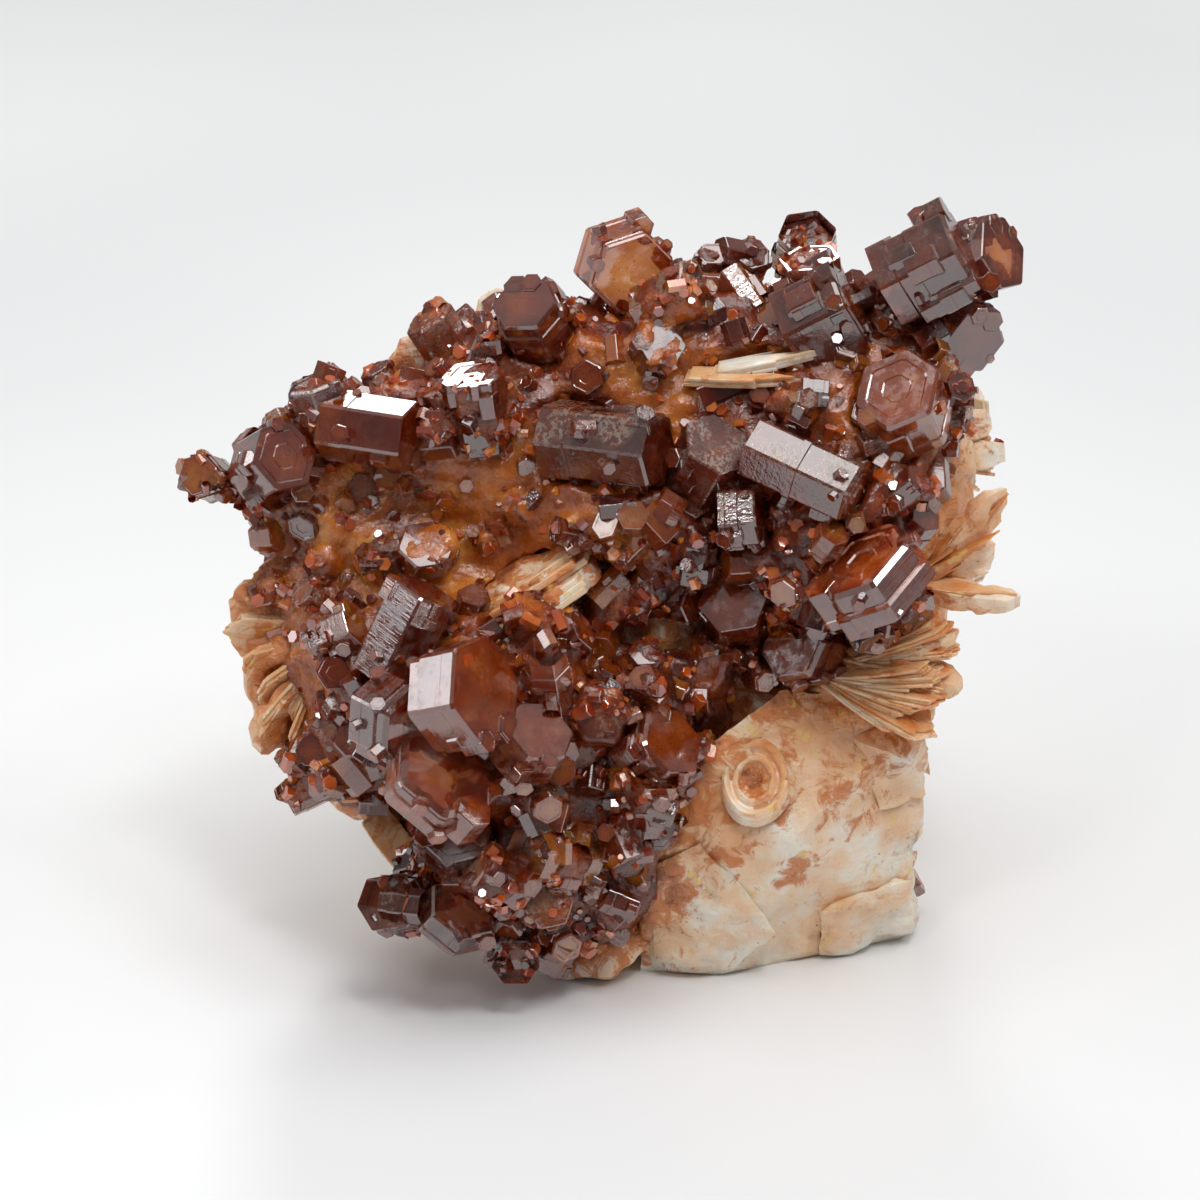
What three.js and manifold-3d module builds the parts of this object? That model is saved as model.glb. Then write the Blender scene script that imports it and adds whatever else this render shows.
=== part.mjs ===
// A vanadinite specimen: brown-red hexagonal crystals grown over a pale barite matrix, about 41 mm wide.
// Millimetres, +Z up. The specimen rests on the broken underside of the matrix, at z = 0.
import * as THREE from "three";
import { ConvexGeometry } from "three/addons/geometries/ConvexGeometry.js";
import { ImprovedNoise } from "three/addons/math/ImprovedNoise.js";
import { MeshSurfaceSampler } from "three/addons/math/MeshSurfaceSampler.js";
import { mergeVertices } from "three/addons/utils/BufferGeometryUtils.js";
import Module from "manifold-3d";

// Driving dimensions, in millimetres and degrees.
// The specimen is laid out as seen from its display side, by an eye raised a little above it.
const VIEW_ELEVATION = 25;
const VIEW_DISTANCE = 230;
const MIDDLE_HEIGHT = 18.4;
// Where the layout's middle stands, measured from the middle of the finished footprint.
const FOOTPRINT_SHIFT = [0, -2];
const GAP = 0.3;
const CRUST_CLEARANCE_OF_FLOOR = 0.6;
const MATRIX_DETAIL = 4;
const CRUST_DETAIL = 4;
const NOISE_SIZE = 4.5;
const NOISE_HEIGHT = 0.5;
const CRUST_FEATHER = 1.2;
const SMALL_CRYSTAL_COUNT = 52;
const SMALL_CRYSTAL_TRIES = 6000;
const SMALL_CRYSTAL_SPACING = 0.92;
const SMALL_CRYSTAL_RADIUS = [0.65, 1.3];
const SMALL_CRYSTAL_LENGTH = [1.9, 2.6];
const SMALL_CRYSTAL_LIFT = 0.15;
const SMALL_CRYSTAL_WOBBLE = 1.3;
const LARGE_CRYSTAL_RADIUS = 1.7;
const RING_RADIUS = 1.45;
const RING_THICKNESS = 0.42;
const BEVEL_SHARE = 0.1;
const COLLAR_LENGTH = 0.13;
const COLLAR_WIDENING = 0.06;
const ROSETTE_BLADES = 4;
const ROSETTE_ROOT = 0.32;
const LEAST_OVERLAP = 1e-6;
const MERGE_DISTANCE = 1e-4;
// How far the corners of a sloping face must move for the face itself to move by one.
const HULL_GROWTH = 1.6;
const SKIN_GROWTH = 1.35;
const PRISM_GROWTH = 1.16;

const COLOURS = {
  barite: new THREE.MeshStandardMaterial({ color: 0xe6d8c6, roughness: 0.55, metalness: 0 }),
  crust: new THREE.MeshStandardMaterial({ color: 0x7a3418, roughness: 0.3, metalness: 0 }),
  crystal: new THREE.MeshStandardMaterial({ color: 0x6b2a1a, roughness: 0.2, metalness: 0 }),
};

const wasm = await Module();
wasm.setup();

// Places and directions as the eye sees them: across to the right, up, and nearer to the eye.
const tilt = THREE.MathUtils.degToRad(VIEW_ELEVATION);
const RIGHT = new THREE.Vector3(1, 0, 0);
const UP = new THREE.Vector3(0, Math.sin(tilt), Math.cos(tilt));
const TOWARD = new THREE.Vector3(0, -Math.cos(tilt), Math.sin(tilt));
const MIDDLE = new THREE.Vector3(0, 0, MIDDLE_HEIGHT);
const EYE = MIDDLE.clone().addScaledVector(TOWARD, VIEW_DISTANCE);

// Directions and places in the layout, as vectors.
function heading([across, up, near]) {
  return new THREE.Vector3()
    .addScaledVector(RIGHT, across)
    .addScaledVector(UP, up)
    .addScaledVector(TOWARD, near)
    .normalize();
}

function spot([across, up, near]) {
  const spread = (VIEW_DISTANCE - near) / VIEW_DISTANCE;
  return MIDDLE.clone()
    .addScaledVector(RIGHT, across * spread)
    .addScaledVector(UP, up * spread)
    .addScaledVector(TOWARD, near);
}

// A repeatable stream of random numbers from 0 to 1, by the mulberry32 method.
function randomStream(seed) {
  let state = seed;
  return () => {
    state = (state + 0x6d2b79f5) | 0;
    let mixed = Math.imul(state ^ (state >>> 15), 1 | state);
    mixed = (mixed + Math.imul(mixed ^ (mixed >>> 7), 61 | mixed)) ^ mixed;
    return ((mixed ^ (mixed >>> 14)) >>> 0) / 4294967296;
  };
}

// Between three.js geometry and manifold-3d solids.
function toSolid(geometry) {
  const bare = geometry.clone();
  bare.deleteAttribute("normal");
  bare.deleteAttribute("uv");
  const merged = mergeVertices(bare, MERGE_DISTANCE);
  return new wasm.Manifold(
    new wasm.Mesh({
      numProp: 3,
      vertProperties: new Float32Array(merged.attributes.position.array),
      triVerts: new Uint32Array(merged.index.array),
    }),
  );
}

function toGeometry(solid) {
  const mesh = solid.getMesh();
  const geometry = new THREE.BufferGeometry();
  const places = new Float32Array(mesh.numVert * 3);
  for (let i = 0; i < mesh.numVert; i++) {
    const from = i * mesh.numProp;
    places.set(mesh.vertProperties.subarray(from, from + 3), i * 3);
  }
  geometry.setAttribute("position", new THREE.BufferAttribute(places, 3));
  geometry.setIndex(new THREE.BufferAttribute(new Uint32Array(mesh.triVerts), 1));
  geometry.computeVertexNormals();
  return geometry;
}

function join(solids) {
  return solids.reduce((all, solid) => all.add(solid));
}

function mainBody(solid) {
  return solid.decompose().reduce((best, body) => (body.volume() > best.volume() ? body : best));
}

// A solid hull of points. To grow it, each point spreads to the corners of a small octahedron.
function hull(points, grow = 0) {
  const spread = grow * HULL_GROWTH;
  const steps = [RIGHT, UP, TOWARD].flatMap((way) => [
    way.clone().multiplyScalar(spread),
    way.clone().multiplyScalar(-spread),
  ]);
  const grown = points.flatMap((point) => steps.map((step) => point.clone().add(step)));
  return toSolid(new ConvexGeometry(grow > 0 ? grown : points));
}

// A body of rounded lumps, wrapped in one skin: along each way out of the specimen's heart, the skin lies
// where that way leaves the outermost lump. A lump is a ball stretched across, up and near, and turned.
const HEART = spot([0.5, -0.5, -3.5]);
const noise = new ImprovedNoise();

function lumpWays(turn = 0) {
  const spin = THREE.MathUtils.degToRad(turn);
  return [RIGHT.clone().applyAxisAngle(TOWARD, spin), UP.clone().applyAxisAngle(TOWARD, spin), TOWARD];
}

function leavesLump({ at, size, turn }, way) {
  const ways = lumpWays(turn);
  const from = HEART.clone().sub(spot(at));
  const start = new THREE.Vector3(...ways.map((one, k) => from.dot(one) / size[k]));
  const step = new THREE.Vector3(...ways.map((one, k) => way.dot(one) / size[k]));
  const a = step.lengthSq();
  const b = start.dot(step);
  const inside = b * b - a * (start.lengthSq() - 1);
  return inside < 0 ? 0 : Math.max(0, (-b + Math.sqrt(inside)) / a);
}

function outermost(lumps, way) {
  return Math.max(...lumps.map((one) => leavesLump(one, way)));
}

function roughness(way, reach) {
  const place = way.clone().multiplyScalar(reach / NOISE_SIZE);
  return NOISE_HEIGHT * 2 * noise.noise(place.x, place.y, place.z);
}

function wrap(reachAlong, detail, grow = 0) {
  const geometry = new THREE.IcosahedronGeometry(1, detail);
  const position = geometry.attributes.position;
  const way = new THREE.Vector3();
  for (let i = 0; i < position.count; i++) {
    way.fromBufferAttribute(position, i).normalize();
    const reach = reachAlong(way);
    const out = reach + roughness(way, reach) + grow * SKIN_GROWTH;
    const place = HEART.clone().addScaledVector(way, out);
    position.setXYZ(i, place.x, place.y, place.z);
  }
  return toSolid(geometry);
}

// A blade's outline, from its root to its chisel tip: along, across and how thick it still is there.
const BLADE_OUTLINE = [
  [-1, -0.55, 1],
  [-1, 0.55, 1],
  [0.25, 1, 1],
  [0.78, 0.7, 0.7],
  [1, 0.1, 0.45],
  [0.86, -0.55, 0.6],
  [0.2, -0.95, 1],
];

// A barite blade: a thin plate. along is its long way, and face the normal of its flat side.
function blade({ at, long, wide, thick, along, face }, grow = 0) {
  const x = heading(along);
  const z = heading(face);
  z.addScaledVector(x, -z.dot(x)).normalize();
  const y = new THREE.Vector3().crossVectors(z, x);
  const half = [long / 2 + grow, wide / 2 + grow, thick / 2 + grow];
  const centre = spot(at);
  const points = BLADE_OUTLINE.flatMap(([a, b, c]) =>
    [-1, 1].map((side) =>
      centre
        .clone()
        .addScaledVector(x, a * half[0])
        .addScaledVector(y, b * half[1])
        .addScaledVector(z, side * c * half[2]),
    ),
  );
  return toSolid(new ConvexGeometry(points));
}

// A hexagonal prism with a narrow bevel at its tip.
function prism({ centre, axis, r, long, roll = 0, bevel = 0 }, grow = 0) {
  const aside = Math.abs(axis.dot(UP)) > 0.9 ? RIGHT : UP;
  const side = new THREE.Vector3().crossVectors(axis, aside).normalize();
  const other = new THREE.Vector3().crossVectors(axis, side);
  const wide = r + grow * PRISM_GROWTH;
  const ring = (height, shrink) =>
    Array.from({ length: 6 }, (_, k) => {
      const angle = THREE.MathUtils.degToRad(roll + k * 60);
      return centre
        .clone()
        .addScaledVector(axis, height)
        .addScaledVector(side, Math.cos(angle) * (wide - shrink))
        .addScaledVector(other, Math.sin(angle) * (wide - shrink));
    });
  const top = long / 2 + grow;
  const points = [...ring(-top, 0), ...ring(top - bevel, 0)];
  if (bevel > 0) points.push(...ring(top, bevel));
  return toSolid(new ConvexGeometry(points));
}

// The matrix. Each piece of it can be made a little larger, to cut room for it in the crust.
const BARITE_LUMPS = [
  { at: [1, 0.5, -6.5], size: [13.5, 12, 7.5] },
  { at: [6, 9, -4.5], size: [10.5, 6, 6.5] },
  { at: [15.3, 6, -1.5], size: [3.6, 5.8, 4.6] },
  { at: [13.2, -2.6, -3.2], size: [4, 5.6, 5] },
  { at: [-14.6, -3, -1.8], size: [3.4, 5, 4] },
  { at: [-9, -6, -4.5], size: [6, 6.2, 5] },
  { at: [0, -13.5, -5.5], size: [6.5, 5, 5] },
  { at: [-5, -12.5, -11], size: [4.5, 4.8, 5.5] },
  { at: [-1, -17.4, -2.6], size: [2.8, 2, 2.2] },
  { at: [-6, 3.5, -10], size: [8, 8, 5] },
  { at: [8, -3, -11], size: [8.5, 10, 6] },
  { at: [-10.5, 7.6, -2.5], size: [5, 2.8, 3.5], turn: 15 },
];

const BLOCK_CORNERS = [
  [2, -18.75, -3.3],
  [6, -18.9, -3],
  [10.6, -18, -5],
  [14.6, -17.3, -6.4],
  [15.4, -16, -5.5],
  [15.4, -12.5, -3.6],
  [16, -8.5, -2],
  [14.6, -5, -0.4],
  [9, -4.5, 1.5],
  [5, -8, 2.2],
  [2.4, -12.5, 1],
  [2, -16, -1.6],
  [9.5, -12, 1.6],
  [12.5, -9, 0.9],
  [3, -15, -12],
  [14, -14, -12.5],
  [13.5, -6, -13],
];

// Ledges and steps that stand out of the block.
const BLOCK_LEDGES = [
  [
    [13.2, -4.8, -1], [16.2, -6, -1.5], [16.1, -9.6, -2],
    [14, -10.4, -0.6], [12.6, -7, 0.6], [14.4, -7.6, 0.9],
    [15.2, -8, 0.2], [13, -8, -5],
  ],
  [
    [11, -15.6, -1.6], [15.5, -14, -3], [15.4, -16.4, -5.2],
    [11.2, -17.4, -4.2], [12, -15, -8], [15.3, -15, -8],
  ],
  [
    [2.2, -13.5, 0.6], [5, -12.2, 1.5], [8.6, -16.6, -0.9],
    [6.5, -18.2, -2.4], [3, -17.8, -2.2], [5, -15, -6],
  ],
];

// The blades that show, then fans of thinner ones at the right-hand edge and the left-hand rosette.
const BARITE_BLADES = [
  { at: [17.9, 2.9, 0.5], long: 7, wide: 1.7, thick: 0.8, along: [0.6, 0.7, 0.1], face: [0.5, -0.3, 0.8] },
  { at: [17.4, 0.4, 0.6], long: 6.8, wide: 1.8, thick: 0.9, along: [1, -0.14, 0.1], face: [0.1, 0.8, 0.6] },
  { at: [17.2, 1.7, -2.5], long: 5, wide: 2.6, thick: 1, along: [0.9, 0.3, -0.1], face: [0, 0.3, 0.95] },
  { at: [-4, 1.5, 1.1], long: 8, wide: 8.4, thick: 0.9, along: [0.8, 0.5, 0], face: [-0.5, 0.8, 0.3] },
  { at: [-3.2, 0.2, 1.7], long: 7, wide: 8, thick: 0.8, along: [0.84, 0.54, 0], face: [-0.5, 0.8, 0.2] },
  { at: [7.5, 11.4, 5.6], long: 6.5, wide: 3, thick: 0.7, along: [0.97, 0.1, 0.2], face: [0, 0.85, 0.5] },
  { at: [5.2, 10.6, 5.6], long: 5, wide: 2.4, thick: 0.6, along: [-0.9, -0.2, 0.2], face: [0, 0.8, 0.6] },
  { at: [-9.6, 11.2, -0.5], long: 3.6, wide: 1.8, thick: 0.8, along: [0.3, 0.95, 0], face: [0.2, 0, 1] },
  { at: [-5.4, 14, -1], long: 3.4, wide: 1.6, thick: 0.8, along: [0.1, 1, 0], face: [0, 0, 1] },
  { at: [-10.3, -12.2, -1.5], long: 3.6, wide: 1.6, thick: 0.6, along: [0.6, -0.8, 0], face: [0.3, 0, 1] },
];

// A fan of blades that spread from one root, from the first direction to the last.
function fan({ root, count, from, to, face, long, wide, thick }) {
  return Array.from({ length: count }, (_, k) => {
    const share = count > 1 ? k / (count - 1) : 0;
    const along = from.map((value, i) => value + (to[i] - value) * share);
    const size = Math.hypot(...along);
    const reach = long * (1 + 0.16 * Math.sin(k * 2.4)) * 0.5;
    const at = root.map((value, i) => value + (along[i] / size) * reach);
    return { at, long: reach * 2, wide, thick, along, face };
  });
}

const BARITE_FANS = [
  {
    root: [12.5, -2.6, 0.4],
    count: 4,
    from: [0.95, 0.42, 0.1],
    to: [0.95, -0.3, 0.1],
    face: [-0.1, 1, 0.35],
    long: 5,
    wide: 3.4,
    thick: 0.55,
  },
  {
    root: [-12.6, -2.4, -0.6],
    count: 5,
    from: [-0.75, 0.72, 0.1],
    to: [-0.45, -1, 0],
    face: [0.5, -0.4, 0.35],
    long: 5.8,
    wide: 3.2,
    thick: 0.7,
  },
  {
    root: [15, 7, -3],
    count: 3,
    from: [0.9, 0.5, -0.3],
    to: [0.9, -0.3, -0.4],
    face: [0, 1, 0.1],
    long: 4.6,
    wide: 5,
    thick: 0.7,
  },
];

// Rosettes of crested blades over the sides and the back: the middle of each, its outward way and its size.
const ROSETTES = [
  { at: [9, 4, -12], out: [0.2, 0.35, -1], reach: 6.4 },
  { at: [-3, 8, -11], out: [-0.2, 0.6, -0.9], reach: 5.6 },
  { at: [-8.5, -1, -11], out: [-0.5, 0, -1], reach: 5.4 },
  { at: [5, -6, -14], out: [0.1, -0.3, -1], reach: 6 },
];
function rosette({ at, out, reach }, number) {
  const random = randomStream(number * 97 + 5);
  const axis = heading(out);
  const side = new THREE.Vector3().crossVectors(axis, RIGHT).normalize();
  const seen = (way) => [way.dot(RIGHT), way.dot(UP), way.dot(TOWARD)];
  return Array.from({ length: ROSETTE_BLADES }, (_, k) => {
    const turn = (k / ROSETTE_BLADES) * Math.PI * 2 + random() * 0.5;
    const lean = side.clone().applyAxisAngle(axis, turn);
    const along = axis.clone().addScaledVector(lean, 0.55 + random() * 0.6).normalize();
    const face = new THREE.Vector3().crossVectors(along, lean).applyAxisAngle(along, random() * 0.7 - 0.35);
    const long = reach * (0.85 + random() * 0.3);
    const way = seen(along);
    return {
      at: at.map((value, i) => value + way[i] * long * ROSETTE_ROOT),
      long,
      wide: reach * (0.62 + random() * 0.3),
      thick: 0.9 + random() * 0.5,
      along: way,
      face: seen(face),
    };
  });
}

// The ring of barite on the block's face, left round a crystal that is gone.
function ring(grow = 0) {
  const geometry = new THREE.TorusGeometry(RING_RADIUS, RING_THICKNESS + grow, 5, 14);
  const normal = heading([-0.12, 0.3, 1]);
  geometry.applyQuaternion(new THREE.Quaternion().setFromUnitVectors(new THREE.Vector3(0, 0, 1), normal));
  const centre = spot([7.75, -9.1, 1.75]);
  geometry.translate(centre.x, centre.y, centre.z);
  return toSolid(geometry);
}

const bladeList = [...BARITE_BLADES, ...BARITE_FANS.flatMap(fan), ...ROSETTES.flatMap(rosette)];

function barite(grow = 0) {
  return join([
    wrap((way) => outermost(BARITE_LUMPS, way), MATRIX_DETAIL, grow),
    hull(BLOCK_CORNERS.map(spot), grow),
    ...BLOCK_LEDGES.map((corners) => hull(corners.map(spot), grow)),
    ...bladeList.map((one) => blade(one, grow)),
    ring(grow),
  ]);
}

// The crust's own lumps, which the small crystals cover. Between them it runs out under the barite.
const CRUST_LUMPS = [
  { at: [-15.6, 6.1, 1.5], size: [4.4, 2.8, 3.4], turn: 8 },
  { at: [-9.5, 8, 1.5], size: [5.8, 3.3, 4.6], turn: 15 },
  { at: [-3.4, 11, 0.4], size: [5.4, 3.8, 5], turn: 25 },
  { at: [4.6, 12.4, 0.4], size: [6.4, 3.4, 5.2], turn: 6 },
  { at: [14.2, 12.2, 1.6], size: [4.8, 4.4, 4.8] },
  { at: [12.6, 7, 2.2], size: [5, 4.6, 4.8] },
  { at: [11, 2, 3], size: [5.2, 4.4, 4.6] },
  { at: [2.4, 5.6, 1], size: [7.4, 5, 4.8] },
  { at: [-7, 2.4, -1.6], size: [8, 4.4, 4.8] },
  { at: [-6.3, -5.6, 3.6], size: [6.2, 5.2, 5] },
  { at: [-12.6, -1.6, -0.8], size: [4.4, 5.2, 4.2] },
  { at: [-11.8, -8.6, -0.6], size: [3.4, 2.6, 3.2] },
  { at: [-4.6, -12.9, 1], size: [5.8, 4.2, 4.4] },
  { at: [-0.6, -14.4, -0.4], size: [3.4, 3, 3.2] },
  { at: [0.8, -7.4, 1.6], size: [4.4, 5.4, 3.8] },
];

function crustReach(way) {
  return Math.max(outermost(CRUST_LUMPS, way), outermost(BARITE_LUMPS, way) - CRUST_FEATHER);
}

// The crystals that can be told apart. at is where the middle of each is seen, axis the way that its end
// face looks, both as the eye sees them, and lift how far its middle stands out of what carries it.
const CRYSTALS = [
  {
    name: "front_barrel", at: [-6.9, -4.8], r: 2.75, long: 2.9,
    axis: [0.78, 0.16, 0.6], roll: 14, lift: 1.7,
  },
  {
    name: "front_left_facet", at: [-10.2, -6], r: 2.3, long: 2.6,
    axis: [0.66, -0.3, 0.68], roll: 40, lift: 0.7,
  },
  { name: "front_slab", at: [-7.9, -9.1], r: 3, long: 1.8, axis: [0.45, 0.58, 0.68], roll: 8, lift: 1.5 },
  {
    name: "front_small_block", at: [-7, -8.3], r: 1.1, long: 2.4,
    axis: [0.9, -0.28, 0.3], roll: 30, lift: 2.9,
  },
  {
    name: "front_rough_end", at: [-3.4, -7.2], r: 1.9, long: 2.6,
    axis: [0.35, 0.5, 0.8], lift: 0.9,
  },
  { name: "front_rusty", at: [-9.7, -1.7], r: 1.9, long: 4.8, axis: [0.4, 0.8, 0.2], roll: 20, lift: 0.9 },
  { name: "centre_red", at: [-8.75, 2], r: 1.5, long: 3, axis: [0.1, 0.5, 0.85], roll: 10, lift: 0.4 },
  { name: "centre_bright", at: [-10.9, 1.7], r: 1.05, long: 2.4, axis: [-0.3, 0.6, 0.7], lift: 0.4 },
  {
    name: "left_square", at: [-13.2, -1.6], r: 1.15, long: 2.6,
    axis: [0.8, 0.35, 0.45], roll: 25, lift: 0.5,
  },
  { name: "left_pair", at: [-11.4, 8.5], r: 1.9, long: 4.6, axis: [0.9, -0.15, 0.4], roll: 30, lift: 0.9 },
  { name: "left_mirror", at: [-8.3, 8.6], r: 0.8, long: 2, axis: [0.05, 0.15, 1], lift: 0.5 },
  { name: "left_rounded", at: [-6.1, 9.5], r: 1.5, long: 4, axis: [-0.12, 0.85, 0.5], roll: 15, lift: 0.8 },
  { name: "upper_dark", at: [-3.4, 14], r: 1.8, long: 3, axis: [-0.25, 0.5, 0.8], lift: 0.3 },
  { name: "upper_left", at: [-7.7, 12.8], r: 1.3, long: 3.4, axis: [-0.5, 0.75, 0.4], near: 1.6 },
  { name: "arm_target", at: [-19.6, 6.1], r: 1.15, long: 2.6, axis: [-0.3, 0.1, 0.9], roll: 15, near: 2.6 },
  { name: "arm_large", at: [-16.4, 6.8], r: 1.9, long: 3.2, axis: [0.45, 0.2, 0.85], roll: 10, lift: 0.4 },
  { name: "arm_top", at: [-13.9, 9.5], r: 1.5, long: 3, axis: [-0.25, 0.9, 0.35], lift: 0.2 },
  {
    name: "centre_frosted", at: [0.2, 7.8], r: 2.2, long: 5.8,
    axis: [0.88, -0.12, 0.42], roll: 12, lift: 0.9,
  },
  { name: "centre_right", at: [5.3, 6.8], r: 1.8, long: 3.4, axis: [0.3, 0.55, 0.75], roll: 20, lift: 0.5 },
  {
    name: "right_purple", at: [10.2, 6.5], r: 1.75, long: 5.6,
    axis: [0.87, -0.42, 0.25], roll: 2, lift: 1.4,
  },
  { name: "right_mirror", at: [7.1, 4.2], r: 1.75, long: 1.8, axis: [0.96, 0.08, 0.22], roll: 15, lift: 1 },
  { name: "right_column", at: [4.9, 2.3], r: 0.95, long: 3, axis: [0.12, 0.88, 0.42], roll: 30, lift: 0.8 },
  { name: "right_slab", at: [13.6, 1.2], r: 3, long: 2.3, axis: [-0.52, 0.7, 0.48], roll: 22, lift: 1.2 },
  {
    name: "lower_right_hexagon", at: [10.2, -2.5], r: 1.95, long: 2.7,
    axis: [-0.5, 0.15, 0.82], roll: 8, lift: 0.7,
  },
  { name: "lower_right_mirror", at: [8.1, -2.9], r: 1.2, long: 2.8, axis: [0.2, 0.3, 0.93], lift: 0.6 },
  {
    name: "lower_right_stack", at: [5.6, -3.4], r: 1.35, long: 4.4,
    axis: [0.35, 0.82, 0.4], roll: 10, lift: 0.8,
  },
  { name: "lower_right_low", at: [5.2, -5.7], r: 1.2, long: 2.2, axis: [-0.6, 0.1, 0.8], lift: 0.3 },
  { name: "edge_disc", at: [3.3, -7.3], r: 2.2, long: 1.2, axis: [0.62, 0.42, 0.68], lift: 0.5 },
  { name: "purple_button", at: [0, -5.8], r: 1.5, long: 2.2, axis: [0.05, 0.05, 1], lift: 0.4 },
  { name: "middle_cube", at: [2.3, -4.3], r: 0.8, long: 1.6, axis: [-0.3, 0.5, 0.8], lift: 0.5 },
  { name: "middle_prism", at: [0.3, -0.7], r: 1.15, long: 4, axis: [0.3, 0.9, 0.4], roll: 20, lift: 0.9 },
  {
    name: "middle_pair_left", at: [2.1, 0.4], r: 0.95, long: 2.6,
    axis: [0.5, 0.8, 0.3], roll: 30, lift: 0.8,
  },
  {
    name: "middle_pair_right", at: [3.9, 0], r: 1.05, long: 2.4,
    axis: [0.7, -0.15, 0.65], roll: 10, lift: 0.8,
  },
  {
    name: "middle_left_block", at: [-1.9, -2], r: 1.2, long: 2.5,
    axis: [0.8, 0.45, 0.35], roll: 25, lift: 0.9,
  },
  {
    name: "middle_left_orange", at: [-3.6, -1.2], r: 1.35, long: 2.4,
    axis: [0.25, 0.68, 0.65], roll: 10, lift: 0.5,
  },
  { name: "middle_plate", at: [-2.6, -4.1], r: 1.15, long: 0.9, axis: [-0.1, 0.72, 0.68], lift: 0.8 },
  { name: "hollow_round", at: [6.7, -0.4], r: 1.8, long: 2.4, axis: [-0.1, 0.3, 0.9], roll: 10, lift: 0 },
  { name: "low_block", at: [-3.1, -10], r: 1.1, long: 2.2, axis: [0.5, 0.3, 0.8], lift: 0.5 },
  { name: "low_right_bright", at: [2.4, -9.7], r: 1.5, long: 2.6, axis: [0.2, 0.65, 0.72], lift: 0.5 },
  {
    name: "low_right_strip", at: [1.1, -12], r: 0.95, long: 3,
    axis: [0.35, -0.8, 0.45], roll: 25, lift: 0.7,
  },
  { name: "bottom_grey", at: [-7.2, -12.2], r: 1.8, long: 2.2, axis: [0, 0.5, 0.86], roll: 15, lift: 0.2 },
  { name: "bottom_orange", at: [-8.7, -13.4], r: 1.25, long: 2.4, axis: [0.6, 0.2, 0.75], lift: 0.5 },
  { name: "bottom_left", at: [-9.7, -15.2], r: 1.5, long: 2.4, axis: [-0.5, 0.1, 0.8], roll: 10, near: 2.2 },
  {
    name: "bottom_slab", at: [-7.1, -15.8], r: 2.05, long: 1.5,
    axis: [0.45, 0.58, 0.68], roll: 10, lift: 0.9,
  },
  { name: "bottom_column", at: [-5.1, -13.8], r: 1.35, long: 2.8, axis: [-0.75, 0.45, 0.5], lift: 0.9 },
  {
    name: "bottom_glassy", at: [-2.3, -12.9], r: 1.5, long: 2.2,
    axis: [-0.6, 0.12, 0.8], roll: 5, lift: 0.7,
  },
  { name: "bottom_hexagon", at: [-2.6, -15.3], r: 1.2, long: 2, axis: [0.05, 0.1, 1], roll: 12, lift: 0.4 },
  { name: "bottom_under", at: [-4.2, -17.4], r: 1.2, long: 2, axis: [0, -0.5, 0.85], near: 1.6 },
  {
    name: "right_orange", at: [15.2, 9.8], r: 2.4, long: 3.4,
    axis: [-0.28, 0.42, 0.86], roll: 25, lift: 0.3,
  },
  { name: "right_clear", at: [13.5, 11.7], r: 0.75, long: 2.8, axis: [0.95, -0.05, 0.3], lift: 1.2 },
  { name: "right_stepped", at: [18, 13.4], r: 1.7, long: 3, axis: [0.4, -0.4, 0.8], lift: 0.2, steps: 1 },
  {
    name: "top_right_barrel", at: [15.1, 16.1], r: 2.25, long: 6.8,
    axis: [0.87, 0.42, 0.26], roll: 10, near: 5.4, steps: 2,
  },
  { name: "top_right_end", at: [19, 17], r: 1.95, long: 2.8, axis: [0.75, 0.2, 0.62], roll: 10, near: 3 },
  { name: "top_right_dark", at: [10.7, 15.4], r: 1.5, long: 3.8, axis: [-0.15, 0.85, 0.5], near: 2.6 },
  { name: "top_peak", at: [1.3, 16.7], r: 2.45, long: 2.8, axis: [0.32, -0.35, 0.88], roll: 20, near: 1.8 },
  { name: "top_small_left", at: [5.6, 16.6], r: 0.9, long: 2.2, axis: [0, 0.6, 0.8], near: 0.6 },
  {
    name: "top_small_right", at: [7.4, 16.6], r: 0.95, long: 2.2,
    axis: [0.2, 0.5, 0.8], roll: 20, near: 0.2,
  },
  { name: "top_far", at: [10.3, 17.2], r: 1.5, long: 2.6, axis: [0, 0.5, 0.85], roll: 10, near: -1 },
  { name: "top_frosted", at: [3.6, 15], r: 1.5, long: 3.2, axis: [0.75, 0.35, 0.5], lift: 0.6 },
];

// Where the line of sight to a place in the layout meets the surface, and that point moved out by lift.
function standOn(carrier, [across, up], lift) {
  const sight = spot([across, up, 0]).sub(EYE).normalize();
  const [hit] = new THREE.Raycaster(EYE, sight).intersectObject(carrier);
  return hit ? hit.point.addScaledVector(sight, -lift) : null;
}

function placeCrystals(carrier) {
  return CRYSTALS.flatMap((one) => {
    const { at, near, lift = 0.4, r, axis } = one;
    const centre = near === undefined ? standOn(carrier, at, lift) : spot([...at, near]);
    if (!centre) console.log("nothing carries " + one.name);
    return centre ? [{ ...one, centre, axis: heading(axis), bevel: BEVEL_SHARE * r }] : [];
  });
}

// Growth steps: shorter, wider collars round the middle of a prism.
function steppedPrism(one, grow = 0) {
  const collars = Array.from({ length: one.steps ?? 0 }, (_, k) => {
    const share = (k + 0.6) / (one.steps + 0.4) - 0.72;
    const centre = one.centre.clone().addScaledVector(one.axis, one.long * share);
    const r = one.r * (1 + COLLAR_WIDENING * (k + 1));
    return prism({ ...one, centre, r, long: one.long * COLLAR_LENGTH, bevel: 0 }, grow);
  });
  return join([prism(one, grow), ...collars]);
}

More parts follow.
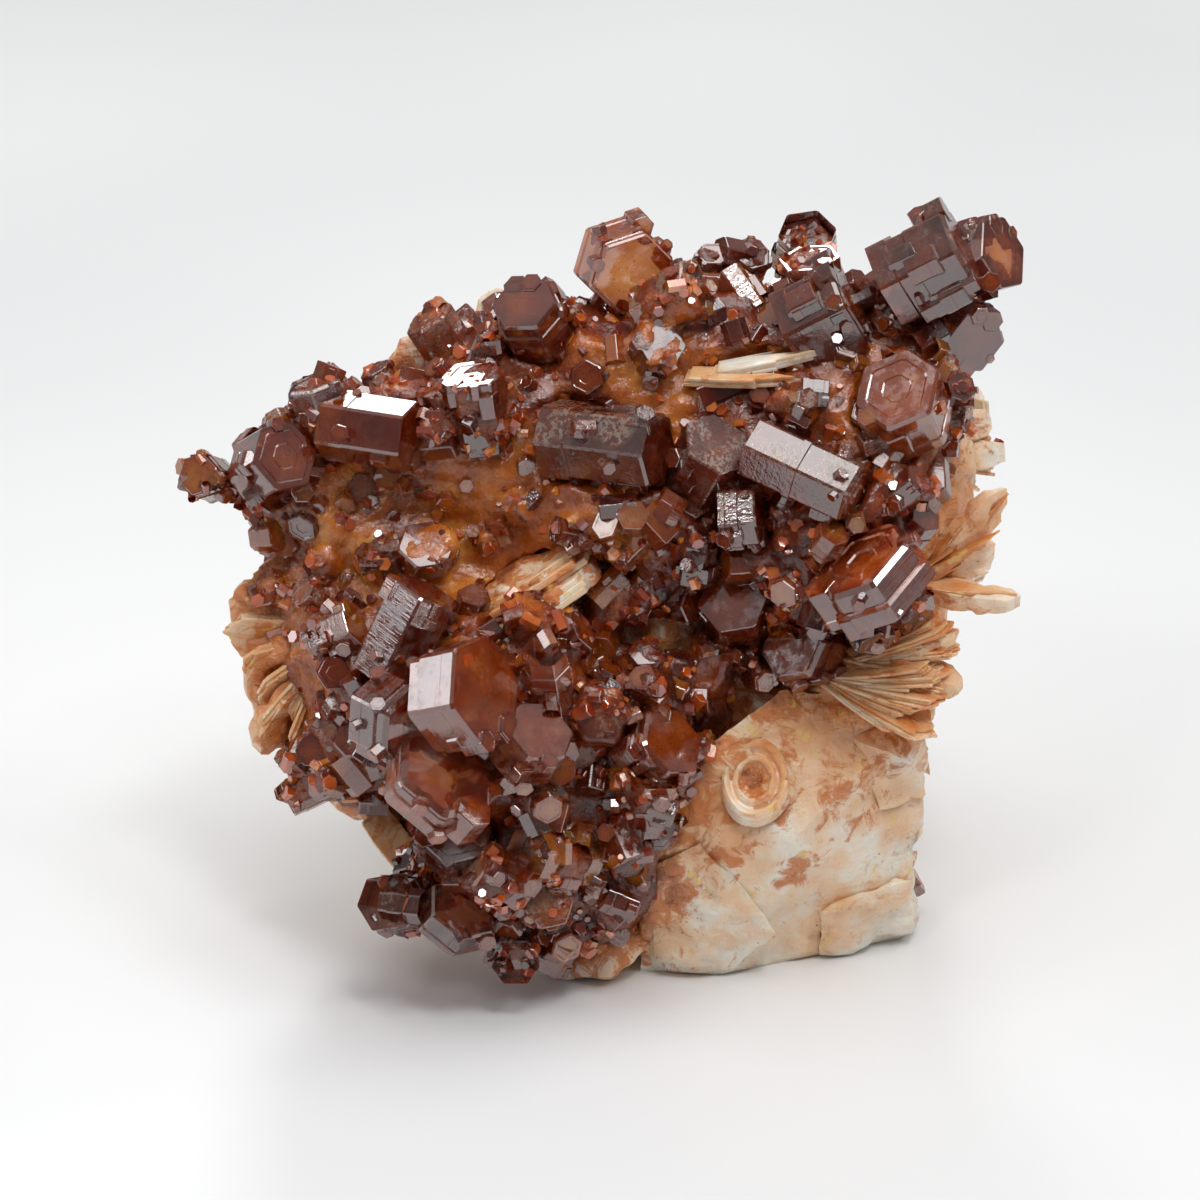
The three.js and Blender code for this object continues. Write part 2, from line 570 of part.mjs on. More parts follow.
// Small crystals scattered over the crust, none of them where a placed one stands.
function scatterCrystals(carrier, placed) {
  const random = randomStream(41);
  const sampler = new MeshSurfaceSampler(new THREE.Mesh(carrier.toNonIndexed()));
  sampler.setRandomGenerator(random);
  sampler.build();
  const found = [];
  const point = new THREE.Vector3();
  const normal = new THREE.Vector3();
  for (let tries = 0; tries < SMALL_CRYSTAL_TRIES && found.length < SMALL_CRYSTAL_COUNT; tries++) {
    sampler.sample(point, normal);
    const r = THREE.MathUtils.lerp(...SMALL_CRYSTAL_RADIUS, random() ** 1.6);
    const wobble = new THREE.Vector3(random() - 0.5, random() - 0.5, random() - 0.5);
    const one = {
      centre: point.clone().addScaledVector(normal, SMALL_CRYSTAL_LIFT * r),
      axis: normal.clone().addScaledVector(wobble, SMALL_CRYSTAL_WOBBLE).normalize(),
      r,
      long: r * THREE.MathUtils.lerp(...SMALL_CRYSTAL_LENGTH, random()),
      roll: random() * 60,
    };
    const clear = [...placed, ...found].every(
      (other) => other.centre.distanceTo(one.centre) > SMALL_CRYSTAL_SPACING * (other.r + r),
    );
    if (clear && !insideBarite(one.centre)) found.push(one);
  }
  return found;
}

function insideBarite(point) {
  const way = point.clone().sub(HEART);
  const reach = way.length();
  return reach < outermost(BARITE_LUMPS, way.normalize()) + GAP;
}

// Crystals that overlap are one piece, named after the largest of them.
function groupCrystals(crystals) {
  const groups = [];
  for (const one of [...crystals].sort((a, b) => b.r - a.r)) {
    const solid = steppedPrism(one);
    const touched = groups.filter((group) => group.solid.intersect(solid).volume() > LEAST_OVERLAP);
    const merged = { members: [one], solid };
    for (const group of touched) {
      merged.members.unshift(...group.members);
      merged.solid = merged.solid.add(group.solid);
      groups.splice(groups.indexOf(group), 1);
    }
    merged.members.sort((a, b) => b.r - a.r);
    groups.push(merged);
  }
  return groups;
}

const WORLD_HALF = 100;

function slabUnder(height) {
  const geometry = new THREE.BoxGeometry(WORLD_HALF, WORLD_HALF, WORLD_HALF);
  geometry.translate(0, 0, height - WORLD_HALF / 2);
  return toSolid(geometry);
}

const matrixBase = barite();
const crustBase = wrap(crustReach, CRUST_DETAIL);
const carrier = new THREE.Mesh(toGeometry(matrixBase.add(crustBase)));
const placed = placeCrystals(carrier);
const large = placed.filter((one) => one.r >= LARGE_CRYSTAL_RADIUS);
const medium = placed.filter((one) => one.r < LARGE_CRYSTAL_RADIUS);
const small = scatterCrystals(toGeometry(crustBase), placed);
const groups = groupCrystals(large);

const sockets = join(large.map((one) => steppedPrism({ ...one, bevel: 0 }, GAP)));
const matrix = mainBody(matrixBase.subtract(sockets).subtract(slabUnder(0)));
const druse = join([crustBase, ...[...medium, ...small].map((one) => prism({ ...one, bevel: 0 }))]);
const crust = mainBody(
  druse.subtract(barite(GAP)).subtract(sockets).subtract(slabUnder(CRUST_CLEARANCE_OF_FLOOR)),
);

const specimen = new THREE.Group();
specimen.position.set(FOOTPRINT_SHIFT[0], FOOTPRINT_SHIFT[1], 0);

function addPiece(name, solid, material) {
  const mesh = new THREE.Mesh(toGeometry(solid), material);
  mesh.name = name;
  specimen.add(mesh);
}

addPiece("barite_matrix", matrix, COLOURS.barite);
addPiece("vanadinite_crust", crust, COLOURS.crust);
for (const { members, solid } of groups) addPiece("vanadinite_" + members[0].name, solid, COLOURS.crystal);

export default specimen;
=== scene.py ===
# The looks of a vanadinite specimen: brown-red hexagonal crystals on a pale, bladed barite matrix.
import math
import random

import bmesh
import bpy
import numpy as np
from mathutils import Matrix, Vector, noise
from mathutils.bvhtree import BVHTree


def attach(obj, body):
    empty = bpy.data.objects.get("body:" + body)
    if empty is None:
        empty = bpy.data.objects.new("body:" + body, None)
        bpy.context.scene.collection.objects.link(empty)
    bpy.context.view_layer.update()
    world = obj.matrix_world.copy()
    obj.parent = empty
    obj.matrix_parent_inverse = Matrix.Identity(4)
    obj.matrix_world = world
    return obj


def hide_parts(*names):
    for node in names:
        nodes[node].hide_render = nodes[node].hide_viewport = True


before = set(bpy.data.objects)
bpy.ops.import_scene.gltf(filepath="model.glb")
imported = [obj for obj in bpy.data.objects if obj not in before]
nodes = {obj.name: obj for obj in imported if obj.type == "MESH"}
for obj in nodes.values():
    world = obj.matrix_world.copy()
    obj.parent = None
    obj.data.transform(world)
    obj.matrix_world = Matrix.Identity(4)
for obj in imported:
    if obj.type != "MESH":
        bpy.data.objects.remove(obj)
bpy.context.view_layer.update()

MM = 0.001

# The display side, as part.mjs lays it out: across, up and nearer to the eye, in millimetres.
VIEW_ELEVATION = math.radians(25)
VIEW_DISTANCE = 230
VIEW_WIDTH = 60
MIDDLE = Vector((0, -2, 18.4))
RIGHT = Vector((1, 0, 0))
UP = Vector((0, math.sin(VIEW_ELEVATION), math.cos(VIEW_ELEVATION)))
TOWARD = Vector((0, -math.cos(VIEW_ELEVATION), math.sin(VIEW_ELEVATION)))

# How the crystals are found: angles, cosines, and lengths as shares of a hexagon's radius or in metres.
SAME_POINT = 0.001 * MM
SHORTEST_EDGE = 0.0001 * MM
COPLANAR_ANGLE = math.radians(0.6)
CORNER_TOLERANCE = 0.03
LENGTH_TOLERANCE = 0.02
LEAST_RADIUS = 0.4 * MM
LARGEST_FUSED_RADIUS = 1.68 * MM
OPPOSITE = -0.999
IN_LINE = 0.02
PRISM_LENGTH = (0.1, 4)
FACING_AWAY = -0.2
CAP_BEVEL_SHARE = 0.9
LONE_END_LENGTH = 1.4
FUSED_LENGTH = 2.2
COVER = 1.03
COVER_LIFT = 0.02 * MM

# How a crystal is finished, in shares of its radius or length. The smallest have no ledges.
SIDE_SPREAD = 0.05
SMALLEST_SIDE_SPREAD = 0.12
CORNER_CUT = (0.03, 0.07)
LARGEST_CUT = 0.4
BEVEL = (0.03, 0.1)
BEVEL_SLOPE = (0.6, 1.1)
FOOT_WIDTH = (0.95, 1.0)
LEDGE_COUNTS = (0, 1, 1, 2, 3)
LEDGE_PLACES = (-0.85, -0.15)
LEDGE_STEP = (0.02, 0.07)
LEDGE_SLOPE = (0.0, 0.03)
NARROWEST, WIDEST = 0.88, 1.02
END_WIDTH = (0.7, 0.88)
END_STEP = 0.04
SUNK_CHANCE = 0.35
SUNK_DEPTH = (0.015, 0.05)
TWICE_SUNK_CHANCE = 0.3

# Smaller crystals grown along a larger one, in shares of its size, and crystals perched on it.
FOLLOWER_RADIUS = (0.16, 0.42)
FOLLOWER_HEIGHTS = ((0.0, 0.05), (-0.5, -0.02), (-0.9, -0.3))
FOLLOWER_SINK = (0.25, 0.8)
FOLLOWER_TURN = 8
FOLLOWER_LENGTH = (1.2, 2.4)
FOLLOWER_LEAN = 0.03
FOLLOWER_REACH = 0.93
FOLLOWER_TONES = 0.12
GROWN_COVER = 1.01
PERCHED_RADIUS = (0.22, 0.55)
PERCHED_LEAN = 0.8
PERCHED_REACH = 0.84
PERCHED_HEIGHTS = (-1, -0.05)
PERCHED_TONES = (-0.1, 0.3)

# The druse between the crystals, coarse and fine: how many, and how small and large, in millimetres.
COARSE = {
    "seed": 11, "count": 480, "radius": (0.4, 0.98), "skew": 1.5, "on_crystals": 0.05, "lift": (0.3, 1.0),
}
FINE = {
    "seed": 12, "count": 1900, "radius": (0.15, 0.42), "skew": 1.6, "on_crystals": 0.08, "lift": (0.3, 1.1),
}
BACK_CRYSTALS = {
    "seed": 13, "count": 70, "radius": (0.35, 0.9), "skew": 1.6, "on_crystals": 0.0, "lift": (0.3, 1.0),
}
BACK_FINE = {
    "seed": 14, "count": 260, "radius": (0.12, 0.35), "skew": 1.6, "on_crystals": 0.0, "lift": (0.3, 1.0),
}
TRIES_FOR_EACH = 6
DRUSE_LEAN = 0.9
DRUSE_LENGTH = (1.5, 2.6)
DRUSE_TONES = (0.22, 0.92)
DRUSE_FROSTS = (0, 0, 0.5)
DRUSE_BLOOMS = (0.05, 0.2)
OFF_THE_FACE = 0.05 * MM
LEAST_ROOM = 1.0 * MM
LEAST_GAP = 0.2 * MM
BARE_AMBER = 0.62
BARE_SHARE = 0.55

# The back: which faces of the barite are open there, and what grows on them.
BACK_ROSETTES = 220
ROSETTE_SEED = 15
BACK_LIMIT = -4 * MM
BACK_TURNED = 0.25
BACK_LOWEST = 2 * MM
PATCH_SIZE = 5
PATCH_LEVEL = 0.16

# The reworked skins of the crust and the barite.
CRUST_VOXEL = 0.26 * MM
BARITE_EDGE = 0.5 * MM
REFINING_ROUNDS = 5
MERGE_DISTANCE = 0.02 * MM
CREASE_ANGLE = math.radians(32)
FOOT_HEIGHT = 0.6 * MM
CALMED = 0.85
RIM_WIDTH = 1.4 * MM
SPOT_STAIN = 0.78
LEAST_WARMTH, SPOT_WARMTH = 0.14, 0.5
LEAST_AMBER, SPOT_AMBER = 0.16, 0.6

# Barite plates: a lamina's outline, in shares of half its length and width, and a rosette's plates.
LAMINAE = 3
LEAF_BEVEL = 0.03 * MM
LEAF_LENGTH = (0.86, 1.03)
LEAF_WIDTH = (0.9, 1.02)
LEAF_SHIFT = 0.06
LEAF_OVERLAP = 0.55
LOW_SIDE = ((-1, 0.9), (-1, -0.9), (-0.4, -1), (0.2, -0.98))
HIGH_SIDE = ((0.2, 0.98), (-0.4, 1))
END_POINTS = 11
END_START = -0.95
END_SPACING = 0.19
END_JAGS = 0.12
POINT_AT = -0.2
POINT_LENGTH = 2.2
POINT_NARROWING = 0.3
ROSETTE_COUNTS = (2, 3, 4)
ROSETTE_LENGTH = (1.4, 3.4)
ROSETTE_WIDTH = (0.4, 0.75)
ROSETTE_THICKNESS = (0.16, 0.4)
ROSETTE_TAPER = (0.1, 0.5)
ROSETTE_WARMTH = (0.1, 0.6)
ROSETTE_STAINS = (0.0, 0.1, 0.3)

# The ring on the block: its place, its radii, and its profile in shares of a radius and millimetres.
RING_PLACE = (7.75, -9.1, 1.75)
RING_RADII = (1.62 * MM, 2.05 * MM)
RING_STEPS = 96
RING_LIFT = 0.28
WORN_AT = math.radians(-20)
WORN_DEPTH = 0.3
RING_PROFILE = (
    (1.12, -0.5), (1.04, 0.1), (0.98, 0.38), (0.9, 0.5), (0.82, 0.42), (0.75, 0.2), (0.68, 0.14),
    (0.62, 0.28), (0.55, 0.38), (0.48, 0.3), (0.42, 0.08), (0.34, -0.02), (0.25, -0.1), (0.15, -0.26),
)

MAIN_SEED = 7
rng = random.Random(MAIN_SEED)


def heading(across, up, near):
    """A way of the layout, as a unit vector."""
    return (RIGHT * across + UP * up + TOWARD * near).normalized()


def spot(across, up, near):
    """A place of the layout, in metres."""
    spread = (VIEW_DISTANCE - near) / VIEW_DISTANCE
    return (MIDDLE + RIGHT * across * spread + UP * up * spread + TOWARD * near) * MM


def closeness(place, spots):
    """How near a place is to any of the spots, from 0 to 1. A spot is a place and a size in millimetres."""
    return max(math.exp(-(((place - spot(*where)).length / MM / size) ** 2)) for where, size in spots)


def leaned(way, most):
    """A way turned aside at random."""
    return (way + Vector([rng.uniform(-most, most) for _ in range(3)])).normalized()


# Finding the hexagonal end faces of the crystals that the solids show.
def merged_faces(source):
    mesh = bmesh.new()
    mesh.from_mesh(source.data)
    bmesh.ops.remove_doubles(mesh, verts=mesh.verts, dist=SAME_POINT)
    bmesh.ops.dissolve_limit(mesh, angle_limit=COPLANAR_ANGLE, verts=mesh.verts, edges=mesh.edges)
    faces = [([v.co.copy() for v in face.verts], face.normal.copy()) for face in mesh.faces]
    mesh.free()
    return faces


def is_hexagon_corner(before, after):
    return abs(before.angle(after) - math.pi / 3) < CORNER_TOLERANCE


def end_face(corners, normal):
    """The hexagon that a face is, or is what is left of: its middle, way out, a corner's way and radius."""
    best = None
    count = len(corners)
    for i in range(count):
        a, b, c, d = (corners[(i + k) % count] for k in range(-1, 3))
        first, side, last = b - a, c - b, d - c
        if min(first.length, side.length, last.length) < SHORTEST_EDGE or side.length < LEAST_RADIUS:
            continue
        if not is_hexagon_corner(first, side) or not is_hexagon_corner(side, last):
            continue
        allowed = LENGTH_TOLERANCE * side.length
        whole = sum(abs(other.length - side.length) < allowed for other in (first, last))
        if whole and (best is None or whole > best[0]):
            inward = normal.cross(side).normalized()
            middle = (b + c) / 2 + inward * side.length * math.sqrt(3) / 2
            best = (whole, middle, (b - middle).normalized(), side.length)
    return best and {"top": best[1], "axis": normal, "corner": best[2], "r": best[3]}


def end_faces(source):
    found = [end_face(corners, normal) for corners, normal in merged_faces(source)]
    return [one for one in found if one]


def facing_pairs(ends):
    """Prisms: two end faces that look opposite ways along one line, or one that is turned to the viewer."""
    prisms, used = [], set()
    for i, one in enumerate(ends):
        for j, other in enumerate(ends):
            between = one["top"] - other["top"]
            if j == i or i in used or j in used or one["axis"].dot(other["axis"]) > OPPOSITE:
                continue
            length = between.dot(one["axis"])
            aside = (between - one["axis"] * length).length
            shortest, longest = (share * one["r"] for share in PRISM_LENGTH)
            is_prism = aside < IN_LINE * one["r"] and shortest < length < longest
            if is_prism and one["r"] <= other["r"]:
                prisms.append({**one, "r": other["r"], "long": length})
                used.update((i, j))
    for i, one in enumerate(ends):
        if i not in used and one["axis"].dot(TOWARD) > FACING_AWAY:
            prisms.append({**one, "r": one["r"] / CAP_BEVEL_SHARE, "long": LONE_END_LENGTH * one["r"]})
    return prisms


class Cluster:
    """Bodies made of rings of points, gathered into one mesh with what its material reads."""

    def __init__(self):
        self.points, self.faces = [], []
        self.grown, self.glow = [], []
        self.side, self.edge = [], []
        self.looks = []

    def add_point(self, place, local, glow, look):
        self.points.append(place)
        self.grown.append(local)
        self.glow.append(glow)
        self.looks.append(look)

    def add_face(self, corners, side, edge):
        self.faces.append(corners)
        self.side.append(side)
        self.edge.append(edge)

    def add(self, rings, glows, kinds, axes, look, closed=False):
        """Joins each ring to the next and closes the last one. Every ring has the same number of points."""
        start = len(self.points)
        origin, x, y, z = axes
        offset = [rng.uniform(-50, 50) for _ in range(3)]
        for ring, glow in zip(rings, glows):
            for px, py, pz in ring:
                local = (px / MM + offset[0], py / MM + offset[1], pz / MM + offset[2])
                self.add_point(origin + x * px + y * py + z * pz, local, glow, look)
        count = len(rings[0])
        for level, kind in enumerate(kinds):
            low, high = start + level * count, start + (level + 1) * count
            for k in range(count):
                after = (k + 1) % count
                cut_corner = kind == "side" and count == 12 and k % 2 == 0
                corners = (low + k, low + after, high + after, high + k)
                self.add_face(corners, float(kind == "side"), float(kind == "edge" or cut_corner))
        last = start + (len(rings) - 1) * count
        self.add_face(tuple(range(last, last + count)), 0.0, 0.0)
        if closed:
            self.add_face(tuple(range(start + count - 1, start - 1, -1)), 0.0, 0.0)

    def build(self, name, material):
        mesh = bpy.data.meshes.new(name)
        mesh.from_pydata(self.points, [], self.faces)
        for key in self.looks[0]:
            set_values(mesh, key, [look[key] for look in self.looks])
        set_values(mesh, "glow", self.glow)
        set_values(mesh, "side", self.side, "FACE")
        set_values(mesh, "edge", self.edge, "FACE")
        grown = mesh.attributes.new("grown", "FLOAT_VECTOR", "POINT")
        grown.data.foreach_set("vector", np.array(self.grown, np.float32).ravel())
        mesh.materials.append(material)
        piece = bpy.data.objects.new(name, mesh)
        bpy.context.scene.collection.objects.link(piece)
        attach(piece, "root")
        return piece


def set_values(mesh, name, values, domain="POINT"):
    mesh.attributes.new(name, "FLOAT", domain).data.foreach_set("value", np.array(values, np.float32))


def hexagon(distances, height, chamfer):
    """The corners of a hexagon whose sides stand at their own distances from the axis, each one cut off."""
    corners = []
    for k in range(6):
        before, after = distances[k - 1], distances[k]
        along, across = (before + after) / (2 * math.cos(math.pi / 6)), after - before
        c, s = math.cos(math.radians(60 * k)), math.sin(math.radians(60 * k))
        corners.append((along * c - across * s, along * s + across * c))
    if chamfer == 0:
        return [(x, y, height) for x, y in corners]
    ring = []
    for k in range(6):
        x, y = corners[k]
        for ox, oy in (corners[k - 1], corners[(k + 1) % 6]):
            share = min(LARGEST_CUT, chamfer / max(math.hypot(ox - x, oy - y), chamfer))
            ring.append((x + (ox - x) * share, y + (oy - y) * share, height))
    return ring


def add_crystal(cluster, one, look, fine=True):
    """One prism: uneven sides, growth ledges round it, a narrow bevel, a stepped or sunken end face, and a
    painted glow in its colour.
    """
    axis, r, long = one["axis"], one["r"], one["long"]
    x = (one["corner"] - axis * one["corner"].dot(axis)).normalized()
    apothem = r * math.cos(math.pi / 6)
    spread = SIDE_SPREAD if fine else SMALLEST_SIDE_SPREAD
    distances = [apothem * (1 + rng.uniform(-spread, spread * 0.4)) for _ in range(6)]
    chamfer = rng.uniform(*CORNER_CUT) * r if fine else 0
    bevel = rng.uniform(*BEVEL) * r
    rings, glows, kinds = [], [], []

    def level(height, share, kind, glow, shrink=0.0):
        rings.append(hexagon([d * share - shrink for d in distances], height, chamfer))
        glows.append(glow)
        if len(rings) > 1:
            kinds.append(kind)

    # Each ring's glow is painted light shining through the crystal. The material makes the crystal lighter
    # orange towards its foot and the middle of its end face, and darker at the bevel.
    share = rng.uniform(*FOOT_WIDTH)
    level(-long, share, "side", 0.7)
    if fine:
        ledges = rng.choice(LEDGE_COUNTS)
        for height in sorted(rng.uniform(*LEDGE_PLACES) * long for _ in range(ledges)):
            level(height, share, "side", 0.3)
            stepped = share + rng.choice((-1, 1)) * rng.uniform(*LEDGE_STEP)
            share = min(WIDEST, max(NARROWEST, stepped))
            level(height + rng.uniform(*LEDGE_SLOPE) * r, share, "edge", 0.3)
    level(-bevel, share, "side", 0.0)
    level(0, share, "edge", 0.0, bevel * rng.uniform(*BEVEL_SLOPE))
    if fine:
        inner = rng.uniform(*END_WIDTH)
        sunk = rng.random() < SUNK_CHANCE
        depth = rng.choice((-1, -1, 1)) * rng.uniform(*SUNK_DEPTH) * r if sunk else 0.0
        level(0, share * inner, "cap", 0.45)
        if sunk:
            level(depth, share * (inner - END_STEP), "edge", 0.5)
        level(depth, share * inner * 0.5, "cap", 1.0)
        if sunk and rng.random() < TWICE_SUNK_CHANCE:
            level(depth * 2, share * (inner * 0.5 - END_STEP), "edge", 1.0)
    cluster.add(rings, glows, kinds, (one["top"], x, axis.cross(x), axis), look)


def add_grown_crystal(cluster, one, look, followers):
    """A crystal with smaller ones grown parallel to it, out of its sides and its end."""
    axis, corner, r, long = one["axis"], one["corner"], one["r"], one["long"]
    add_crystal(cluster, {**one, "r": r * GROWN_COVER}, look)
    side = axis.cross(corner)
    for _ in range(followers):
        even_turn = 60 * rng.randrange(6) + rng.choice((0, 30))
        turn = math.radians(even_turn + rng.uniform(-FOLLOWER_TURN, FOLLOWER_TURN))
        small = r * rng.uniform(*FOLLOWER_RADIUS)
        reach = r * FOLLOWER_REACH - small * rng.uniform(*FOLLOWER_SINK)
        out = (corner * math.cos(turn) + side * math.sin(turn)) * reach
        lean = leaned(axis, FOLLOWER_LEAN)
        height = rng.choice([rng.uniform(*span) for span in FOLLOWER_HEIGHTS])
        follower = {
            "top": one["top"] + out + axis * height * min(long, r),
            "axis": lean,
            "corner": corner,
            "r": small,
            "long": min(long, small * rng.uniform(*FOLLOWER_LENGTH)),
        }
        tone = look["tone"] + rng.uniform(-FOLLOWER_TONES, FOLLOWER_TONES)
        add_crystal(cluster, follower, {**look, "tone": tone})


def add_perched(cluster, one, look, count):
    """Small crystals that sit on a larger one, each with its own way out."""
    axis, corner, r = one["axis"], one["corner"], one["r"]
    side = axis.cross(corner)
    for _ in range(count):
        turn = rng.uniform(0, 2 * math.pi)
        out = corner * math.cos(turn) + side * math.sin(turn)
        lean = leaned(out, PERCHED_LEAN)
        small = rng.uniform(*PERCHED_RADIUS) * MM
        along = axis * rng.uniform(*PERCHED_HEIGHTS) * min(one["long"], 2 * r)
        place = one["top"] + along + out * r * PERCHED_REACH
        sat = {"top": place + lean * small, "axis": lean, "corner": lean.orthogonal().normalized()}
        tone = look["tone"] + rng.uniform(*PERCHED_TONES)
        add_crystal(cluster, {**sat, "r": small, "long": small * 2}, {**look, "tone": tone})


def add_laminae(cluster, count, centre, x, z, size, look, taper):
    """Thin layers of barite over each other, square or, with more taper, pointed at one jagged end."""
    z = (z - x * z.dot(x)).normalized()
    y = z.cross(x)
    long, wide, thick = size
    leaf = thick * MM / count
    for k in range(count):
        reach = long / 2 * MM * rng.uniform(*LEAF_LENGTH)
        breadth = wide / 2 * MM * rng.uniform(*LEAF_WIDTH)
        aside = breadth * rng.uniform(-LEAF_SHIFT, LEAF_SHIFT)
        origin = centre + z * leaf * (k - (count - 1) / 2) + y * aside
        outline = list(LOW_SIDE)
        for step in range(END_POINTS):
            up = END_START + step * END_SPACING
            cut = taper * POINT_LENGTH * abs(up - POINT_AT) + rng.uniform(0, END_JAGS)
            outline.append((1 - cut, up * (1 - POINT_NARROWING * taper)))
        outline += HIGH_SIDE
        half, bevel = leaf * LEAF_OVERLAP, LEAF_BEVEL
        rings = []
        for height, inset in ((-half, bevel), (bevel - half, 0), (half - bevel, 0), (half, bevel)):
            rings.append([(a * (reach - inset), b * (breadth - inset), height) for a, b in outline])
        cluster.add(rings, [0] * 4, ["edge", "side", "edge"], (origin, x, y, z), look, closed=True)


def add_plate(cluster, at, long, wide, thick, along, face, look, taper=0.15):
    size = (long, wide, thick)
    add_laminae(cluster, LAMINAE, spot(*at), heading(*along), heading(*face), size, look, taper)


def add_rosette(cluster, place, way, look):
    """A few small plates that stand on a face and cross each other."""
    for _ in range(rng.choice(ROSETTE_COUNTS)):
        lean = (way.orthogonal().normalized() + way * 0.01).normalized()
        lean.rotate(Matrix.Rotation(rng.uniform(0, 2 * math.pi), 3, way))
        x = (lean + way * rng.uniform(0.1, 0.7)).normalized()
        z = (way.cross(lean) + way * rng.uniform(-0.6, 0.6)).normalized()
        long = rng.uniform(*ROSETTE_LENGTH)
        size = (long, long * rng.uniform(*ROSETTE_WIDTH), rng.uniform(*ROSETTE_THICKNESS))
        add_laminae(cluster, 2, place + way * OFF_THE_FACE, x, z, size, look, rng.uniform(*ROSETTE_TAPER))


def add_fan(cluster, root, count, first, last, face, size, look):
    """Plates that spread from one root, from the first direction to the last."""
    long, wide, thick = size
    for k in range(count):
        share = k / (count - 1)
        along = Vector(first).lerp(Vector(last), share)
        reach = long * (1 + 0.16 * math.sin(k * 2.4)) * 0.5
        at = Vector(root) + along.normalized() * reach
        add_plate(cluster, at, reach * 2.06, wide, thick, along, face, look)


def add_ring(cluster, look):
    """Two worn ridges round a dark pit, lower where they are broken."""
    z = heading(-0.12, 0.3, 1)
    x = (RIGHT - z * RIGHT.dot(z)).normalized()
    across, up = RING_RADII
    rings = []
    for share, height in RING_PROFILE:
        ring = []
        for k in range(RING_STEPS):
            turn = math.radians(360 * k / RING_STEPS)
            c, s = math.cos(turn), math.sin(turn)
            worn = 1 - WORN_DEPTH * max(0.0, math.cos(turn - WORN_AT)) ** 3
            bumps = noise.noise(Vector((c * 3, s * 3, share * 9)))
            wide = share * (1 + 0.05 * noise.noise(Vector((c * 1.4, s * 1.4, 4))) + 0.025 * bumps)
            high = (height * worn if height > 0.15 else height) + 0.07 * bumps + RING_LIFT
            ring.append((across * wide * c, up * wide * s, high * MM))
        rings.append(ring)
    # On the ring the glow values only make its pit darker and rustier towards its middle.
    glows = [max(0.0, 0.9 - share) for share, _ in RING_PROFILE]
    kinds = ["cap"] * (len(rings) - 1)
    cluster.add(rings, glows, kinds, (spot(*RING_PLACE), x, z.cross(x), z), look)


# Material building.
def colour(r, g, b):
    return (r, g, b, 1)


VANADINITE_IOR, CRUST_IOR, BARITE_IOR = 2.35, 1.7, 1.64
BLOOM = colour(0.32, 0.2, 0.18)
# Paler orange for the crystals' edges: wear, and a painted highlight along them.
WORN_EDGE_AND_HIGHLIGHT = colour(0.62, 0.27, 0.15)
FRACTURE = colour(0.03, 0.006, 0.003)
PIT = colour(0.05, 0.015, 0.008)
RUST = colour(0.62, 0.19, 0.035)
DARK_RUST = colour(0.24, 0.05, 0.012)
YELLOW = colour(0.85, 0.58, 0.16)
SPECK = colour(0.14, 0.05, 0.02)


def new_material(name):
    material = bpy.data.materials.new(name)
    material.use_nodes = True
    tree = material.node_tree
    return material, tree, tree.nodes["Principled BSDF"]


def put(tree, kind, inputs=None, **settings):
    made = tree.nodes.new(kind)
    for key, value in settings.items():
        setattr(made, key, value)
    for key, value in (inputs or {}).items():
        if isinstance(value, bpy.types.NodeSocket):
            tree.links.new(value, made.inputs[key])
        else:
            made.inputs[key].default_value = value
    return made


def attribute(tree, name, output="Fac"):
    return put(tree, "ShaderNodeAttribute", attribute_name=name).outputs[output]


def noise_of(tree, vector, scale, detail=3.0, roughness=0.55, distortion=0.0):
    values = {"Vector": vector, "Scale": scale, "Detail": detail, "Roughness": roughness}
    return put(tree, "ShaderNodeTexNoise", {**values, "Distortion": distortion}).outputs["Fac"]


def remap(tree, value, low, high, to_low=0.0, to_high=1.0):
    inputs = {"Value": value, "From Min": low, "From Max": high, "To Min": to_low, "To Max": to_high}
    return put(tree, "ShaderNodeMapRange", inputs, clamp=True).outputs["Result"]


def vary(tree, noisy, to_low, to_high):
    """Noise, most of which lies between 0.3 and 0.7, spread over a range."""
    return remap(tree, noisy, 0.3, 0.7, to_low, to_high)


def combine(tree, operation, *values):
    """The sum or product of any number of values."""
    result = values[0]
    for value in values[1:]:
        result = put(tree, "ShaderNodeMath", {0: result, 1: value}, operation=operation).outputs[0]
    return result


def mix(tree, share, a, b):
    return put(tree, "ShaderNodeMix", {0: share, 6: a, 7: b}, data_type="RGBA").outputs[2]


def ramp(tree, value, *stops):
    made = put(tree, "ShaderNodeValToRGB", {"Fac": value})
    elements = made.color_ramp.elements
    while len(elements) < len(stops):
        elements.new(0.5)
    for element, (place, shade) in zip(elements, stops):
        element.position = place
        element.color = (*shade, 1)
    return made.outputs["Color"]


def bump(tree, height, strength, distance):
    inputs = {"Height": height, "Strength": strength, "Distance": distance}
    return put(tree, "ShaderNodeBump", inputs).outputs["Normal"]


def stretched(tree, vector, factors):
    return put(tree, "ShaderNodeVectorMath", {0: vector, 1: factors}, operation="MULTIPLY").outputs[0]


def position(tree):
    where = put(tree, "ShaderNodeTexCoord").outputs["Object"]
    return stretched(tree, where, (1 / MM, 1 / MM, 1 / MM))


def facing_up(tree, low, high):
    normal = put(tree, "ShaderNodeNewGeometry").outputs["Normal"]
    return remap(tree, put(tree, "ShaderNodeSeparateXYZ", {0: normal}).outputs["Z"], low, high)


def set_inside(shader, ior, subsurface, radius, scale, transmission=0.0):
    shader.inputs["IOR"].default_value = ior
    shader.inputs["Transmission Weight"].default_value = transmission
    shader.inputs["Subsurface Weight"].default_value = subsurface
    shader.inputs["Subsurface Radius"].default_value = radius
    shader.inputs["Subsurface Scale"].default_value = scale * MM


